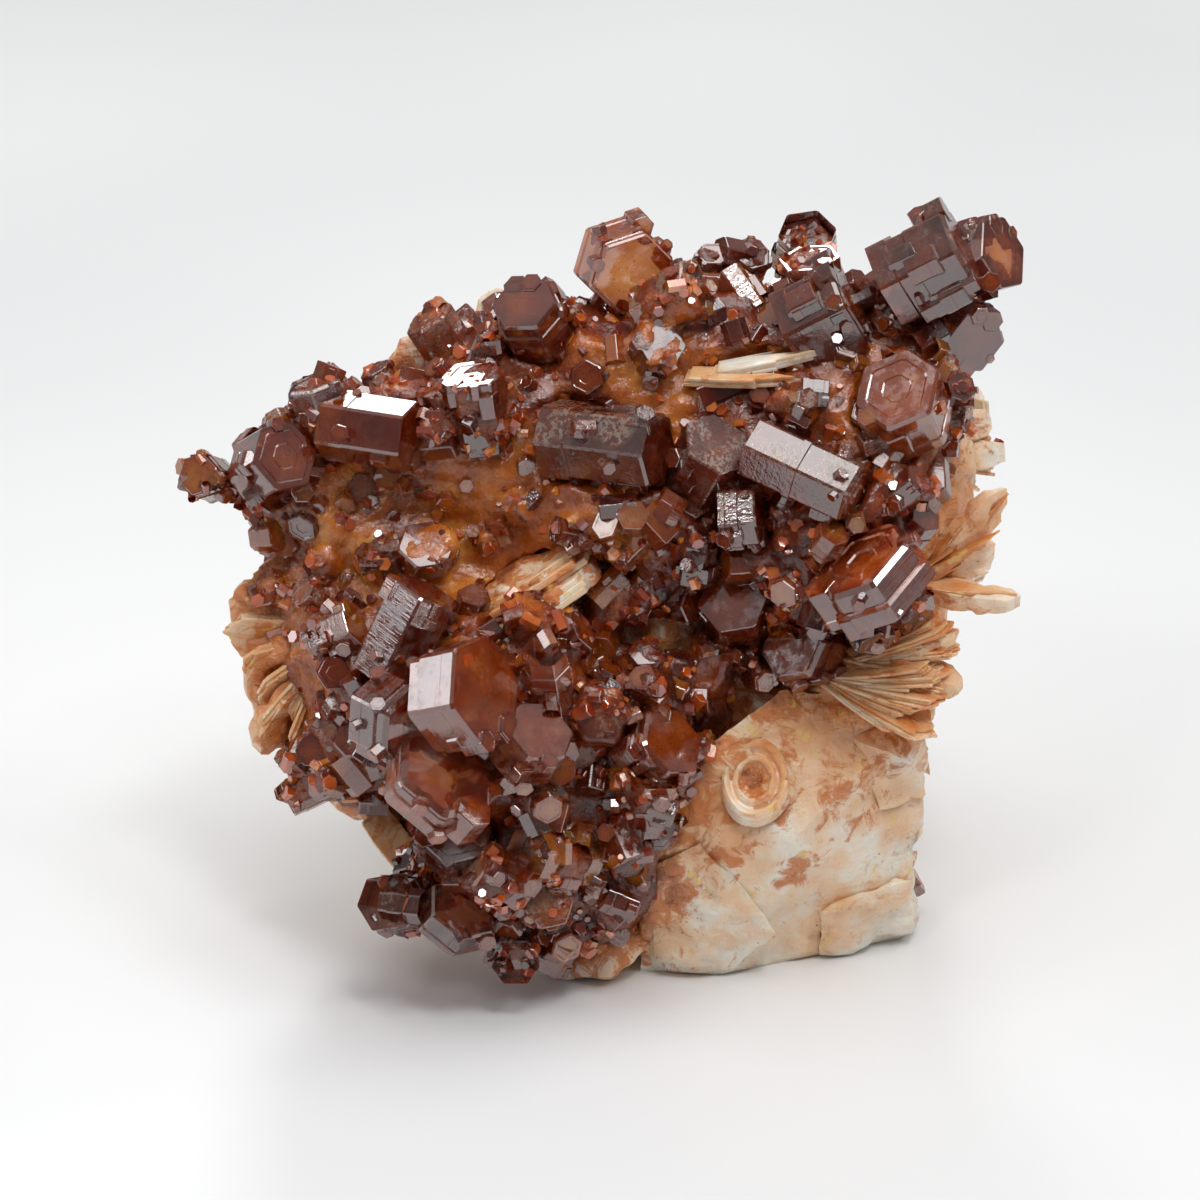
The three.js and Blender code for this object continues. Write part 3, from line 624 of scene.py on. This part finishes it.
def crystal_material(name, transmission, subsurface):
    material, tree, shader = new_material(name)
    grown = attribute(tree, "grown", "Vector")
    tone, frost, cloudy = attribute(tree, "tone"), attribute(tree, "frost"), attribute(tree, "bloom")
    side, edge, glow = attribute(tree, "side"), attribute(tree, "edge"), attribute(tree, "glow")
    clouds = vary(tree, noise_of(tree, grown, 0.55, 1.0), -0.13, 0.13)
    # Painted glow: the body turns lighter orange where the glow is high and darker where it is low, in place
    # of light shining through the crystal.
    inner = remap(tree, glow, 0.0, 1.0, -0.12, 0.12)
    body = ramp(
        tree,
        combine(tree, "ADD", tone, clouds, inner),
        (0.0, (0.06, 0.005, 0.002)),
        (0.35, (0.26, 0.022, 0.003)),
        (0.7, (0.58, 0.1, 0.007)),
        (1.0, (0.88, 0.3, 0.025)),
    )
    # Bloom lies in patches over the sides, edges are painted paler for wear and as a painted highlight, and
    # frost is ochre and grey-green dust.
    mottle = noise_of(tree, grown, 1.7, 2.0, 0.65)
    patches = remap(tree, mottle, 0.4, 0.62)
    bloom = combine(tree, "MULTIPLY", patches, cloudy, remap(tree, side, 0.0, 1.0, 0.15, 1.0))
    body = mix(tree, bloom, body, BLOOM)
    body = mix(tree, combine(tree, "MULTIPLY", edge, 0.16), body, WORN_EDGE_AND_HIGHLIGHT)
    grit = noise_of(tree, grown, 4.2, 2.0, 0.7)
    cover = remap(tree, clouds, -0.09, 0.05)
    lying = facing_up(tree, -0.2, 0.75)
    dust = combine(tree, "MULTIPLY", frost, remap(tree, grit, 0.44, 0.56), cover, lying)
    body = mix(tree, dust, body, ramp(tree, patches, (0.0, (0.46, 0.19, 0.04)), (1.0, (0.34, 0.28, 0.18))))
    # Fractures are thin lines along which the mottle is halfway.
    off_half = combine(tree, "ADD", mottle, -0.5)
    away = put(tree, "ShaderNodeMath", {0: off_half}, operation="ABSOLUTE").outputs[0]
    thin = remap(tree, away, 0.0, 0.016, 0.6, 0.0)
    fractures = combine(tree, "MULTIPLY", thin, remap(tree, grit, 0.45, 0.55))
    body = mix(tree, fractures, body, FRACTURE)
    pits = remap(tree, grit, 0.3, 0.37, 0.55, 0.0)
    body = mix(tree, combine(tree, "MULTIPLY", pits, patches), body, PIT)
    tree.links.new(body, shader.inputs["Base Color"])
    polish = remap(tree, patches, 0.0, 1.0, 0.03, 0.13)
    worn = combine(tree, "ADD", polish, combine(tree, "MULTIPLY", bloom, 0.25))
    rough = combine(tree, "ADD", worn, combine(tree, "MULTIPLY", dust, 0.5))
    tree.links.new(rough, shader.inputs["Roughness"])
    # Growth lines across the axis, shallow pits, and the grain of the dust.
    lines = noise_of(tree, stretched(tree, grown, (0.5, 0.5, 7.0)), 1.3, 1.0)
    grain = combine(tree, "MULTIPLY", grit, remap(tree, frost, 0.0, 1.0, 0.25, 6.0))
    normal = bump(tree, combine(tree, "ADD", combine(tree, "MULTIPLY", lines, side), grain), 0.3, 0.015 * MM)
    tree.links.new(normal, shader.inputs["Normal"])
    set_inside(shader, VANADINITE_IOR, subsurface, (1.0, 0.2, 0.05), 0.9, transmission)
    return material


def crust_material():
    material, tree, shader = new_material("crust_base")
    place = position(tree)
    clouds = vary(tree, noise_of(tree, place, 0.5, 3.0, 0.6), -0.28, 0.28)
    body = ramp(
        tree,
        combine(tree, "ADD", clouds, attribute(tree, "amber")),
        (0.0, (0.06, 0.007, 0.003)),
        (0.35, (0.22, 0.034, 0.006)),
        (0.65, (0.48, 0.125, 0.013)),
        (1.0, (0.76, 0.3, 0.045)),
    )
    tree.links.new(body, shader.inputs["Base Color"])
    polish = vary(tree, noise_of(tree, place, 2.4, 2.0), 0.06, 0.36)
    tree.links.new(polish, shader.inputs["Roughness"])
    cells = put(tree, "ShaderNodeTexVoronoi", {"Vector": place, "Scale": 2.2}).outputs["Distance"]
    lumps = combine(tree, "MULTIPLY", cells, 0.6)
    height = combine(tree, "ADD", lumps, noise_of(tree, place, 5.0, 2.0, 0.65))
    tree.links.new(bump(tree, height, 0.5, 0.12 * MM), shader.inputs["Normal"])
    set_inside(shader, CRUST_IOR, 0.55, (1.0, 0.3, 0.08), 1.4)
    return material


def barite_body(tree, place, warm, stain):
    """Cream to peach, with rust along the crust, yellow spots and tiny dark specks."""
    broad = vary(tree, noise_of(tree, place, 0.24, 3.0, 0.6), -0.38, 0.38)
    body = ramp(
        tree,
        combine(tree, "ADD", broad, warm),
        (0.0, (0.93, 0.85, 0.73)),
        (0.3, (0.9, 0.62, 0.4)),
        (0.65, (0.8, 0.42, 0.2)),
        (1.0, (0.66, 0.22, 0.05)),
    )
    veins = vary(tree, noise_of(tree, place, 0.8, 4.0, 0.72, 0.8), -0.5, 0.5)
    reach = combine(tree, "ADD", stain, veins)
    body = mix(tree, remap(tree, reach, 0.26, 0.55, 0.0, 0.92), body, RUST)
    body = mix(tree, remap(tree, reach, 0.7, 1.1, 0.0, 0.85), body, DARK_RUST)
    yellow = remap(tree, noise_of(tree, place, 0.9, 2.0, 0.6), 0.64, 0.7, 0.0, 0.7)
    body = mix(tree, yellow, body, YELLOW)
    specks = put(tree, "ShaderNodeTexVoronoi", {"Vector": place, "Scale": 0.9}).outputs["Distance"]
    return mix(tree, remap(tree, specks, 0.035, 0.065, 0.85, 0.0), body, SPECK)


def rock_material():
    material, tree, shader = new_material("barite")
    place = position(tree)
    body = barite_body(tree, place, attribute(tree, "warm"), attribute(tree, "stain"))
    tree.links.new(body, shader.inputs["Base Color"])
    grain = noise_of(tree, place, 2.6, 4.0, 0.7)
    tree.links.new(vary(tree, grain, 0.2, 0.55), shader.inputs["Roughness"])
    cleavage = noise_of(tree, stretched(tree, place, (0.5, 0.5, 2.6)), 1.1, 2.0, 0.6)
    normal = bump(tree, combine(tree, "ADD", grain, cleavage), 0.6, 0.2 * MM)
    tree.links.new(normal, shader.inputs["Normal"])
    set_inside(shader, BARITE_IOR, 0.35, (1.0, 0.5, 0.22), 0.8)
    return material


def blade_material():
    material, tree, shader = new_material("barite_blades")
    grown = attribute(tree, "grown", "Vector")
    streaks = noise_of(tree, stretched(tree, grown, (0.35, 2.6, 4.0)), 1.0, 5.0, 0.65)
    # The ring's pit turns darker and rustier towards its middle.
    pit = remap(tree, attribute(tree, "glow"), 0.2, 0.9, 0.0, 1.1)
    streaked = combine(tree, "ADD", attribute(tree, "warm"), vary(tree, streaks, -0.24, 0.24))
    stain = combine(tree, "ADD", attribute(tree, "stain"), pit)
    body = barite_body(tree, grown, streaked, stain)
    tree.links.new(body, shader.inputs["Base Color"])
    tree.links.new(vary(tree, streaks, 0.12, 0.45), shader.inputs["Roughness"])
    grain = combine(tree, "MULTIPLY", noise_of(tree, grown, 4.0, 3.0), 0.4)
    height = combine(tree, "ADD", streaks, grain)
    tree.links.new(bump(tree, height, 0.5, 0.09 * MM), shader.inputs["Normal"])
    set_inside(shader, BARITE_IOR, 0.5, (1.0, 0.8, 0.6), 0.5)
    return material


# Reworked copies of the solids.
def add_copy(name, mesh):
    piece = bpy.data.objects.new(name, mesh)
    mesh.name = name
    mesh.materials.clear()
    bpy.context.scene.collection.objects.link(piece)
    return piece


def remeshed(name, source, voxel):
    """A copy in small, even faces, its creases worn round."""
    piece = add_copy(name, source.data.copy())
    modifier = piece.modifiers.new("voxels", "REMESH")
    modifier.mode = "VOXEL"
    modifier.voxel_size = voxel
    modifier.use_smooth_shade = True
    evaluated = piece.evaluated_get(bpy.context.evaluated_depsgraph_get())
    mesh = bpy.data.meshes.new_from_object(evaluated)
    piece.modifiers.clear()
    piece.data = mesh
    return piece


def refined(name, source, longest):
    """A copy with small faces that keeps its creases sharp."""
    mesh = bmesh.new()
    mesh.from_mesh(source.data)
    bmesh.ops.remove_doubles(mesh, verts=mesh.verts, dist=MERGE_DISTANCE)
    for _ in range(REFINING_ROUNDS):
        long_edges = [edge for edge in mesh.edges if edge.calc_length() > longest]
        bmesh.ops.subdivide_edges(mesh, edges=long_edges, cuts=1, use_single_edge=True)
        many_sided = [face for face in mesh.faces if len(face.verts) > 3]
        bmesh.ops.triangulate(mesh, faces=many_sided, quad_method="SHORT_EDGE")
    for edge in mesh.edges:
        edge.smooth = not edge.is_manifold or edge.calc_face_angle() < CREASE_ANGLE
    for face in mesh.faces:
        face.smooth = True
    result = bpy.data.meshes.new(name)
    mesh.to_mesh(result)
    mesh.free()
    return add_copy(name, result)


def vectors_of(items, key):
    values = np.empty(len(items) * 3, np.float32)
    items.foreach_get(key, values)
    return values.reshape(-1, 3)


def roughen(mesh, octaves, terraces=(), calm=()):
    """Moves each point along its normal by noise, less so near calm spots and not at all on the floor.

    Octaves and terraces are pairs of a size and a height in millimetres.
    """
    places, ways = vectors_of(mesh.vertices, "co"), vectors_of(mesh.vertices, "normal")
    for i, (place, way) in enumerate(zip(places, ways)):
        at = Vector(place) / MM
        shift = sum(height * noise.noise(at / size) for size, height in octaves)
        shift += sum(height * (noise.noise(at / size) > 0) for size, height in terraces)
        if calm:
            shift *= 1 - CALMED * closeness(Vector(place), calm)
        places[i] = place + way * shift * MM * min(1.0, max(0.0, place[2] / FOOT_HEIGHT))
    places[:, 2] = np.maximum(places[:, 2], 0.0)
    mesh.vertices.foreach_set("co", places.ravel())
    mesh.update()


def tree_of(mesh):
    return BVHTree.FromPolygons([v.co for v in mesh.vertices], [p.vertices for p in mesh.polygons])


crystal_look = crystal_material("vanadinite", 0.6, 0.35)
micro_look = crystal_material("vanadinite_fine", 0.0, 0.3)
crust_look = crust_material()
rock_look = rock_material()
blade_look = blade_material()

# The larger crystals, one piece for each solid, and how some of them differ from the rest.
large_names = sorted(name for name in nodes if name not in ("barite_matrix", "vanadinite_crust"))
PLAIN = {"tone": 0.4, "frost": 0.04, "bloom": 0.1}
LOOKS = {
    "vanadinite_centre_frosted": {"tone": 0.34, "frost": 0.75, "bloom": 0.15},
    "vanadinite_front_slab": {"tone": 0.36, "frost": 0.1, "bloom": 0.55},
    "vanadinite_bottom_grey": {"tone": 0.3, "frost": 0.2, "bloom": 0.7},
    "vanadinite_bottom_slab": {"tone": 0.25, "frost": 0.15, "bloom": 0.4},
    "vanadinite_front_barrel": {"tone": 0.52, "frost": 0.1, "bloom": 0.3},
    "vanadinite_right_slab": {"tone": 0.36, "frost": 0.0, "bloom": 0.35},
    "vanadinite_right_orange": {"tone": 0.62, "frost": 0.0, "bloom": 0.0},
    "vanadinite_top_peak": {"tone": 0.52, "frost": 0.1, "bloom": 0.3},
    "vanadinite_top_right_barrel": {"tone": 0.3, "frost": 0.25, "bloom": 0.15},
    "vanadinite_edge_disc": {"tone": 0.5, "frost": 0.0, "bloom": 0.3},
}
FOLLOWERS = {"vanadinite_top_right_barrel": 8, "vanadinite_right_slab": 2, "vanadinite_front_slab": 3}
USUAL_FOLLOWERS = 4
PERCHED = 5
TONE_SPREAD = 0.08
for name in large_names:
    cluster = Cluster()
    own = LOOKS.get(name, PLAIN)
    for one in facing_pairs(end_faces(nodes[name])):
        look = {**own, "tone": own["tone"] + rng.uniform(-TONE_SPREAD, TONE_SPREAD)}
        add_grown_crystal(cluster, one, look, FOLLOWERS.get(name, USUAL_FOLLOWERS))
        add_perched(cluster, one, look, PERCHED)
    piece = cluster.build(name.replace("vanadinite_", "crystal_"), crystal_look)
    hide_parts(name)

# The crystals fused with the crust.
FUSED_FOLLOWERS = 3
FUSED_PERCHED = 2
FUSED_TONES = (0.2, 0.8)
FUSED_FROSTS = (0, 0, 0.15, 0.8)
FUSED_BLOOMS = (0.05, 0.1, 0.35)
cluster = Cluster()
for end in end_faces(nodes["vanadinite_crust"]):
    if end["r"] > LARGEST_FUSED_RADIUS:
        continue
    top = end["top"] + end["axis"] * COVER_LIFT
    one = {**end, "r": end["r"] * COVER, "top": top, "long": FUSED_LENGTH * end["r"]}
    frost, bloom, tone = rng.choice(FUSED_FROSTS), rng.choice(FUSED_BLOOMS), rng.uniform(*FUSED_TONES)
    look = {"tone": tone, "frost": frost, "bloom": bloom}
    add_grown_crystal(cluster, one, look, FUSED_FOLLOWERS)
    add_perched(cluster, one, look, FUSED_PERCHED)
fused_piece = cluster.build("druse_crystals", crystal_look)

# The crust itself, amber where it is bare.
crust = remeshed("druse_base", nodes["vanadinite_crust"], CRUST_VOXEL)
CRUST_OCTAVES = ((2.2, 0.35), (0.8, 0.2), (0.35, 0.08))
roughen(crust.data, CRUST_OCTAVES)
AMBER_SPOTS = (
    ((-7, 3.5, 2), 6.5),
    ((-12, 4, 2), 4.5),
    ((-13, -2, 0), 5),
    ((-1, 4, 3), 4),
    ((3, 11, 4), 4),
    ((13, 9, 4), 4),
)
amber = [closeness(Vector(place), AMBER_SPOTS) for place in vectors_of(crust.data.vertices, "co")]
set_values(crust.data, "amber", [LEAST_AMBER + SPOT_AMBER * value for value in amber])
crust.data.materials.append(crust_look)
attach(crust, "root")
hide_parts("vanadinite_crust")

# The barite that carries it, stained along the crust and in spots, and warmer in some places.
rock = refined("barite_rock", nodes["barite_matrix"], BARITE_EDGE)
BARITE_OCTAVES = ((5, 0.3), (1.8, 0.18), (0.8, 0.1))
BARITE_TERRACES = ((3.1, 0.22), (1.9, 0.16), (1.1, 0.08))
CALM_SPOTS = ((RING_PLACE, 4), ((11.5, -13, 1), 5))
roughen(rock.data, BARITE_OCTAVES, BARITE_TERRACES, CALM_SPOTS)
crust_tree = tree_of(crust.data)
WARM_SPOTS = (
    ((15, -1, 0), 6),
    ((16, 3, 0), 5),
    ((-14, -4, 0), 5),
    ((4, -9, 2), 4),
    ((8, 11, 5), 4),
    ((12, -6, 2), 3.5),
)
STAIN_SPOTS = (
    ((11.7, -9.7, 0), 1.9),
    ((3.8, -14.2, 0), 1.7),
    ((7.75, -9.1, 2), 2.2),
    ((6, -12.5, 0), 1.5),
    ((13.5, -3.5, 0), 2.2),
    ((2.5, -17, 0), 1.5),
    ((3.2, -12, 1), 1.6),
    ((9.6, -13.2, 0), 1.1),
    ((14.2, -7.2, 0), 1.2),
    ((9, -5, 1), 1.6),
)
stain, warm = [], []
for place in vectors_of(rock.data.vertices, "co"):
    at = Vector(place)
    rim = math.exp(-crust_tree.find_nearest(at)[3] / RIM_WIDTH)
    stain.append(max(rim, SPOT_STAIN * closeness(at, STAIN_SPOTS)))
    warm.append(LEAST_WARMTH + SPOT_WARMTH * closeness(at, WARM_SPOTS))
set_values(rock.data, "stain", stain)
set_values(rock.data, "warm", warm)
rock.data.materials.append(rock_look)
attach(rock, "root")
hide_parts("barite_matrix")

# The crisp plates over the blades of the matrix: at the right, in the hollow, at the top and the left.
cluster = Cluster()
rusty = {"warm": 0.9, "stain": 0.5}
golden = {"warm": 0.55, "stain": 0.24}
peach = {"warm": 0.66, "stain": 0.2}
pale = {"warm": 0.25, "stain": 0.0}
add_plate(cluster, (17.9, 2.9, 0.5), 7.4, 1.5, 0.85, (0.6, 0.7, 0.1), (0.5, -0.3, 0.8), rusty, 0.6)
add_plate(cluster, (17.3, 1.9, 0.9), 6.4, 1.1, 0.6, (0.8, 0.5, 0.1), (0.3, -0.3, 0.8), rusty, 0.6)
add_plate(cluster, (17.5, 0.5, 0.7), 7.2, 1.5, 0.8, (1, -0.14, 0.1), (0.1, 0.8, 0.6), peach, 0.5)
add_plate(cluster, (17.2, 1.7, -2.5), 5.2, 2.7, 1.05, (0.9, 0.3, -0.1), (0, 0.3, 0.95), pale)
add_plate(cluster, (-4, 1.5, 1.1), 8.1, 8.6, 0.95, (0.8, 0.5, 0), (-0.5, 0.8, 0.3), golden)
add_plate(cluster, (-3.2, 0.2, 1.7), 7.1, 8.3, 0.85, (0.84, 0.54, 0), (-0.5, 0.8, 0.2), pale)
add_plate(cluster, (8.4, 11.9, 5.2), 5.4, 1.2, 0.5, (0.97, 0.16, 0.2), (0, 0.85, 0.5), pale, 0.5)
add_plate(cluster, (7.3, 11.1, 5.3), 6.2, 1.4, 0.5, (0.97, -0.04, 0.2), (0, 0.85, 0.5), peach, 0.5)
add_plate(cluster, (-9.6, 11.2, -0.5), 3.7, 1.9, 0.85, (0.3, 0.95, 0), (0.2, 0, 1), pale)
add_plate(cluster, (-5.4, 14, -1), 3.5, 1.7, 0.85, (0.1, 1, 0), (0, 0, 1), pale)
add_plate(cluster, (-10.3, -12.2, -1.5), 3.7, 1.7, 0.65, (0.6, -0.8, 0), (0.3, 0, 1), golden)
fans = (
    ((12.5, -2.6, 0.4), 7, (0.95, 0.42, 0.1), (0.95, -0.3, 0.1), (-0.1, 1, 0.35), (5, 3.5, 0.45), peach),
    ((11.6, -3.4, 1.0), 8, (0.95, 0.1, 0.1), (0.8, -0.6, 0.1), (-0.1, 1, 0.5), (5.4, 3.5, 0.45), peach),
    ((-12.6, -2.4, -0.6), 9, (-0.75, 0.72, 0.1), (-0.45, -1, 0), (0.5, -0.4, 0.35), (5.8, 3.3, 0.5), golden),
    ((15, 7, -3), 5, (0.9, 0.5, -0.3), (0.9, -0.3, -0.4), (0, 1, 0.1), (4.6, 3, 0.5), peach),
)
for fan in fans:
    add_fan(cluster, *fan)
add_ring(cluster, {"warm": 0.42, "stain": 0.0})
blades = cluster.build("barite_plates", blade_look)


# The druse and the back: small crystals and rosettes over the skins where they show.
rock_tree = tree_of(rock.data)


def random_faces(mesh, count, seed):
    """Faces of a mesh, picked evenly over its area."""
    areas = np.array([face.area for face in mesh.polygons])
    chosen = np.random.default_rng(seed).choice(len(areas), count, p=areas / areas.sum())
    return [mesh.polygons[int(index)] for index in chosen]


def is_open_crust(face):
    return amber[face.vertices[0]] < BARE_AMBER or rng.random() > BARE_SHARE


def is_open_back(face):
    """Whether a face of the barite looks away from the display side, clear of the floor."""
    is_behind = (face.center - MIDDLE * MM).dot(TOWARD) < BACK_LIMIT
    return is_behind and face.normal.dot(TOWARD) < BACK_TURNED and face.center.z > BACK_LOWEST


def is_seeded_back(face):
    """The back's crystals stand in patches."""
    return is_open_back(face) and noise.noise(face.center / MM / PATCH_SIZE) > PATCH_LEVEL


def scatter(cluster, carrier, is_wanted, taken, kind, fine):
    """Crystals of one kind on a skin, where barite doesn't cover it and few other crystals stand."""
    least, most = kind["radius"]
    made = 0
    for face in random_faces(carrier, kind["count"] * TRIES_FOR_EACH, kind["seed"]):
        if made >= kind["count"]:
            break
        place, way = Vector(face.center), Vector(face.normal)
        if not is_wanted(face):
            continue
        if rock_tree.ray_cast(place + way * OFF_THE_FACE, way, LEAST_ROOM)[0] is not None:
            continue
        hit, hit_way, _, distance = taken.find_nearest(place)
        buried = (place - hit).dot(hit_way) < 0
        if (buried or distance < LEAST_GAP) and rng.random() > kind["on_crystals"]:
            continue
        r = (least + (most - least) * rng.random() ** kind["skew"]) * MM
        axis = leaned(way, DRUSE_LEAN)
        corner = axis.orthogonal().normalized()
        corner.rotate(Matrix.Rotation(rng.uniform(0, 1), 3, axis))
        top = place + axis * r * rng.uniform(*kind["lift"])
        one = {"top": top, "axis": axis, "corner": corner, "r": r, "long": r * rng.uniform(*DRUSE_LENGTH)}
        tone, frost, bloom = rng.uniform(*DRUSE_TONES), rng.choice(DRUSE_FROSTS), rng.choice(DRUSE_BLOOMS)
        look = {"tone": tone, "frost": frost, "bloom": bloom}
        if fine:
            add_grown_crystal(cluster, one, look, rng.choice((0, 0, 1, 2)))
        else:
            add_crystal(cluster, one, look, fine=False)
        made += 1


cluster = Cluster()
for face in random_faces(rock.data, BACK_ROSETTES, ROSETTE_SEED):
    if is_open_back(face):
        look = {"warm": rng.uniform(*ROSETTE_WARMTH), "stain": rng.choice(ROSETTE_STAINS)}
        add_rosette(cluster, Vector(face.center), Vector(face.normal), look)
back_plates = cluster.build("barite_back_plates", blade_look)

cluster = Cluster()
fused_tree = tree_of(fused_piece.data)
scatter(cluster, crust.data, is_open_crust, fused_tree, COARSE, True)
scatter(cluster, rock.data, is_seeded_back, fused_tree, BACK_CRYSTALS, True)
coarse_piece = cluster.build("druse_coarse", crystal_look)
cluster = Cluster()
coarse_tree = tree_of(coarse_piece.data)
scatter(cluster, crust.data, is_open_crust, coarse_tree, FINE, False)
scatter(cluster, rock.data, is_seeded_back, coarse_tree, BACK_FINE, False)
fine_piece = cluster.build("druse_fine", micro_look)

# The stage: a pale board, a dim tent that is lighter above, and softboxes. Lengths are in metres.
HALF_FLOOR = 1.5
floor_corners = [(HALF_FLOOR * x, HALF_FLOOR * y, 0) for x, y in ((-1, -1), (1, -1), (1, 1), (-1, 1))]
floor_mesh = bpy.data.meshes.new("floor")
floor_mesh.from_pydata(floor_corners, [], [(0, 1, 2, 3)])
floor = bpy.data.objects.new("floor", floor_mesh)
bpy.context.scene.collection.objects.link(floor)
floor_look, tree, shader = new_material("pale_board")
mottle = noise_of(tree, position(tree), 0.02, 0.0)
board = mix(tree, mottle, colour(0.8, 0.81, 0.82), colour(0.84, 0.845, 0.85))
tree.links.new(board, shader.inputs["Base Color"])
tree.links.new(vary(tree, mottle, 0.3, 0.42), shader.inputs["Roughness"])
floor_mesh.materials.append(floor_look)

world = bpy.data.worlds.new("tent")
bpy.context.scene.world = world
world.use_nodes = True
tree = world.node_tree
background = tree.nodes["Background"]
way = put(tree, "ShaderNodeTexCoord").outputs["Generated"]
parts = put(tree, "ShaderNodeSeparateXYZ", {"Vector": way})
upward = remap(tree, parts.outputs["Z"], 0.0, 1.0, 0.11, 0.5)
frontal = remap(tree, parts.outputs["Y"], -0.9, 0.3, 0.35, 1.0)
tree.links.new(combine(tree, "MULTIPLY", upward, frontal), background.inputs["Strength"])
background.inputs["Color"].default_value = (1.0, 0.99, 0.975, 1)


def softbox(name, place, target, size, power, tint=(1, 1, 1)):
    lamp = bpy.data.lights.new(name, "AREA")
    lamp.shape = "RECTANGLE"
    lamp.size, lamp.size_y = size
    lamp.energy = power
    lamp.color = tint
    holder = bpy.data.objects.new(name, lamp)
    holder.location = place
    holder.rotation_mode = "QUATERNION"
    holder.rotation_quaternion = (Vector(target) - Vector(place)).to_track_quat("-Z", "Y")
    bpy.context.scene.collection.objects.link(holder)


LOW_AIM, AIM = (0, 0, 0.01), (0, 0, 0.02)
SMALL_BOX = (0.07, 0.07)
COOL = (0.95, 0.97, 1)
softbox("overhead", (0.04, -0.05, 0.56), LOW_AIM, (0.44, 0.4), 1.5)
softbox("spot_left", (-0.37, -0.03, 0.17), AIM, (0.2, 0.11), 0.24, COOL)
softbox("spot_front", (0.08, -0.2, 0.42), AIM, (0.08, 0.08), 0.42)
softbox("glint_right", (0.3, 0.08, 0.28), AIM, SMALL_BOX, 0.12)
softbox("glint_front", (-0.16, -0.26, 0.33), AIM, SMALL_BOX, 0.18)
softbox("glint_high", (0.22, -0.16, 0.36), AIM, SMALL_BOX, 0.18)
softbox("spot_back", (-0.03, 0.34, 0.27), AIM, (0.1, 0.08), 0.25)

# The camera.
SENSOR_WIDTH = 36
NEAREST_SEEN = 0.01
camera = bpy.data.objects.new("camera", bpy.data.cameras.new("camera"))
camera.data.sensor_width = SENSOR_WIDTH
camera.data.lens = SENSOR_WIDTH * VIEW_DISTANCE / VIEW_WIDTH
camera.data.clip_start = NEAREST_SEEN
camera.location = spot(0, 0, VIEW_DISTANCE)
camera.rotation_mode = "QUATERNION"
camera.rotation_quaternion = (-TOWARD).to_track_quat("-Z", "Y")
bpy.context.scene.collection.objects.link(camera)
bpy.context.scene.camera = camera
bpy.context.scene.view_settings.view_transform = "Standard"
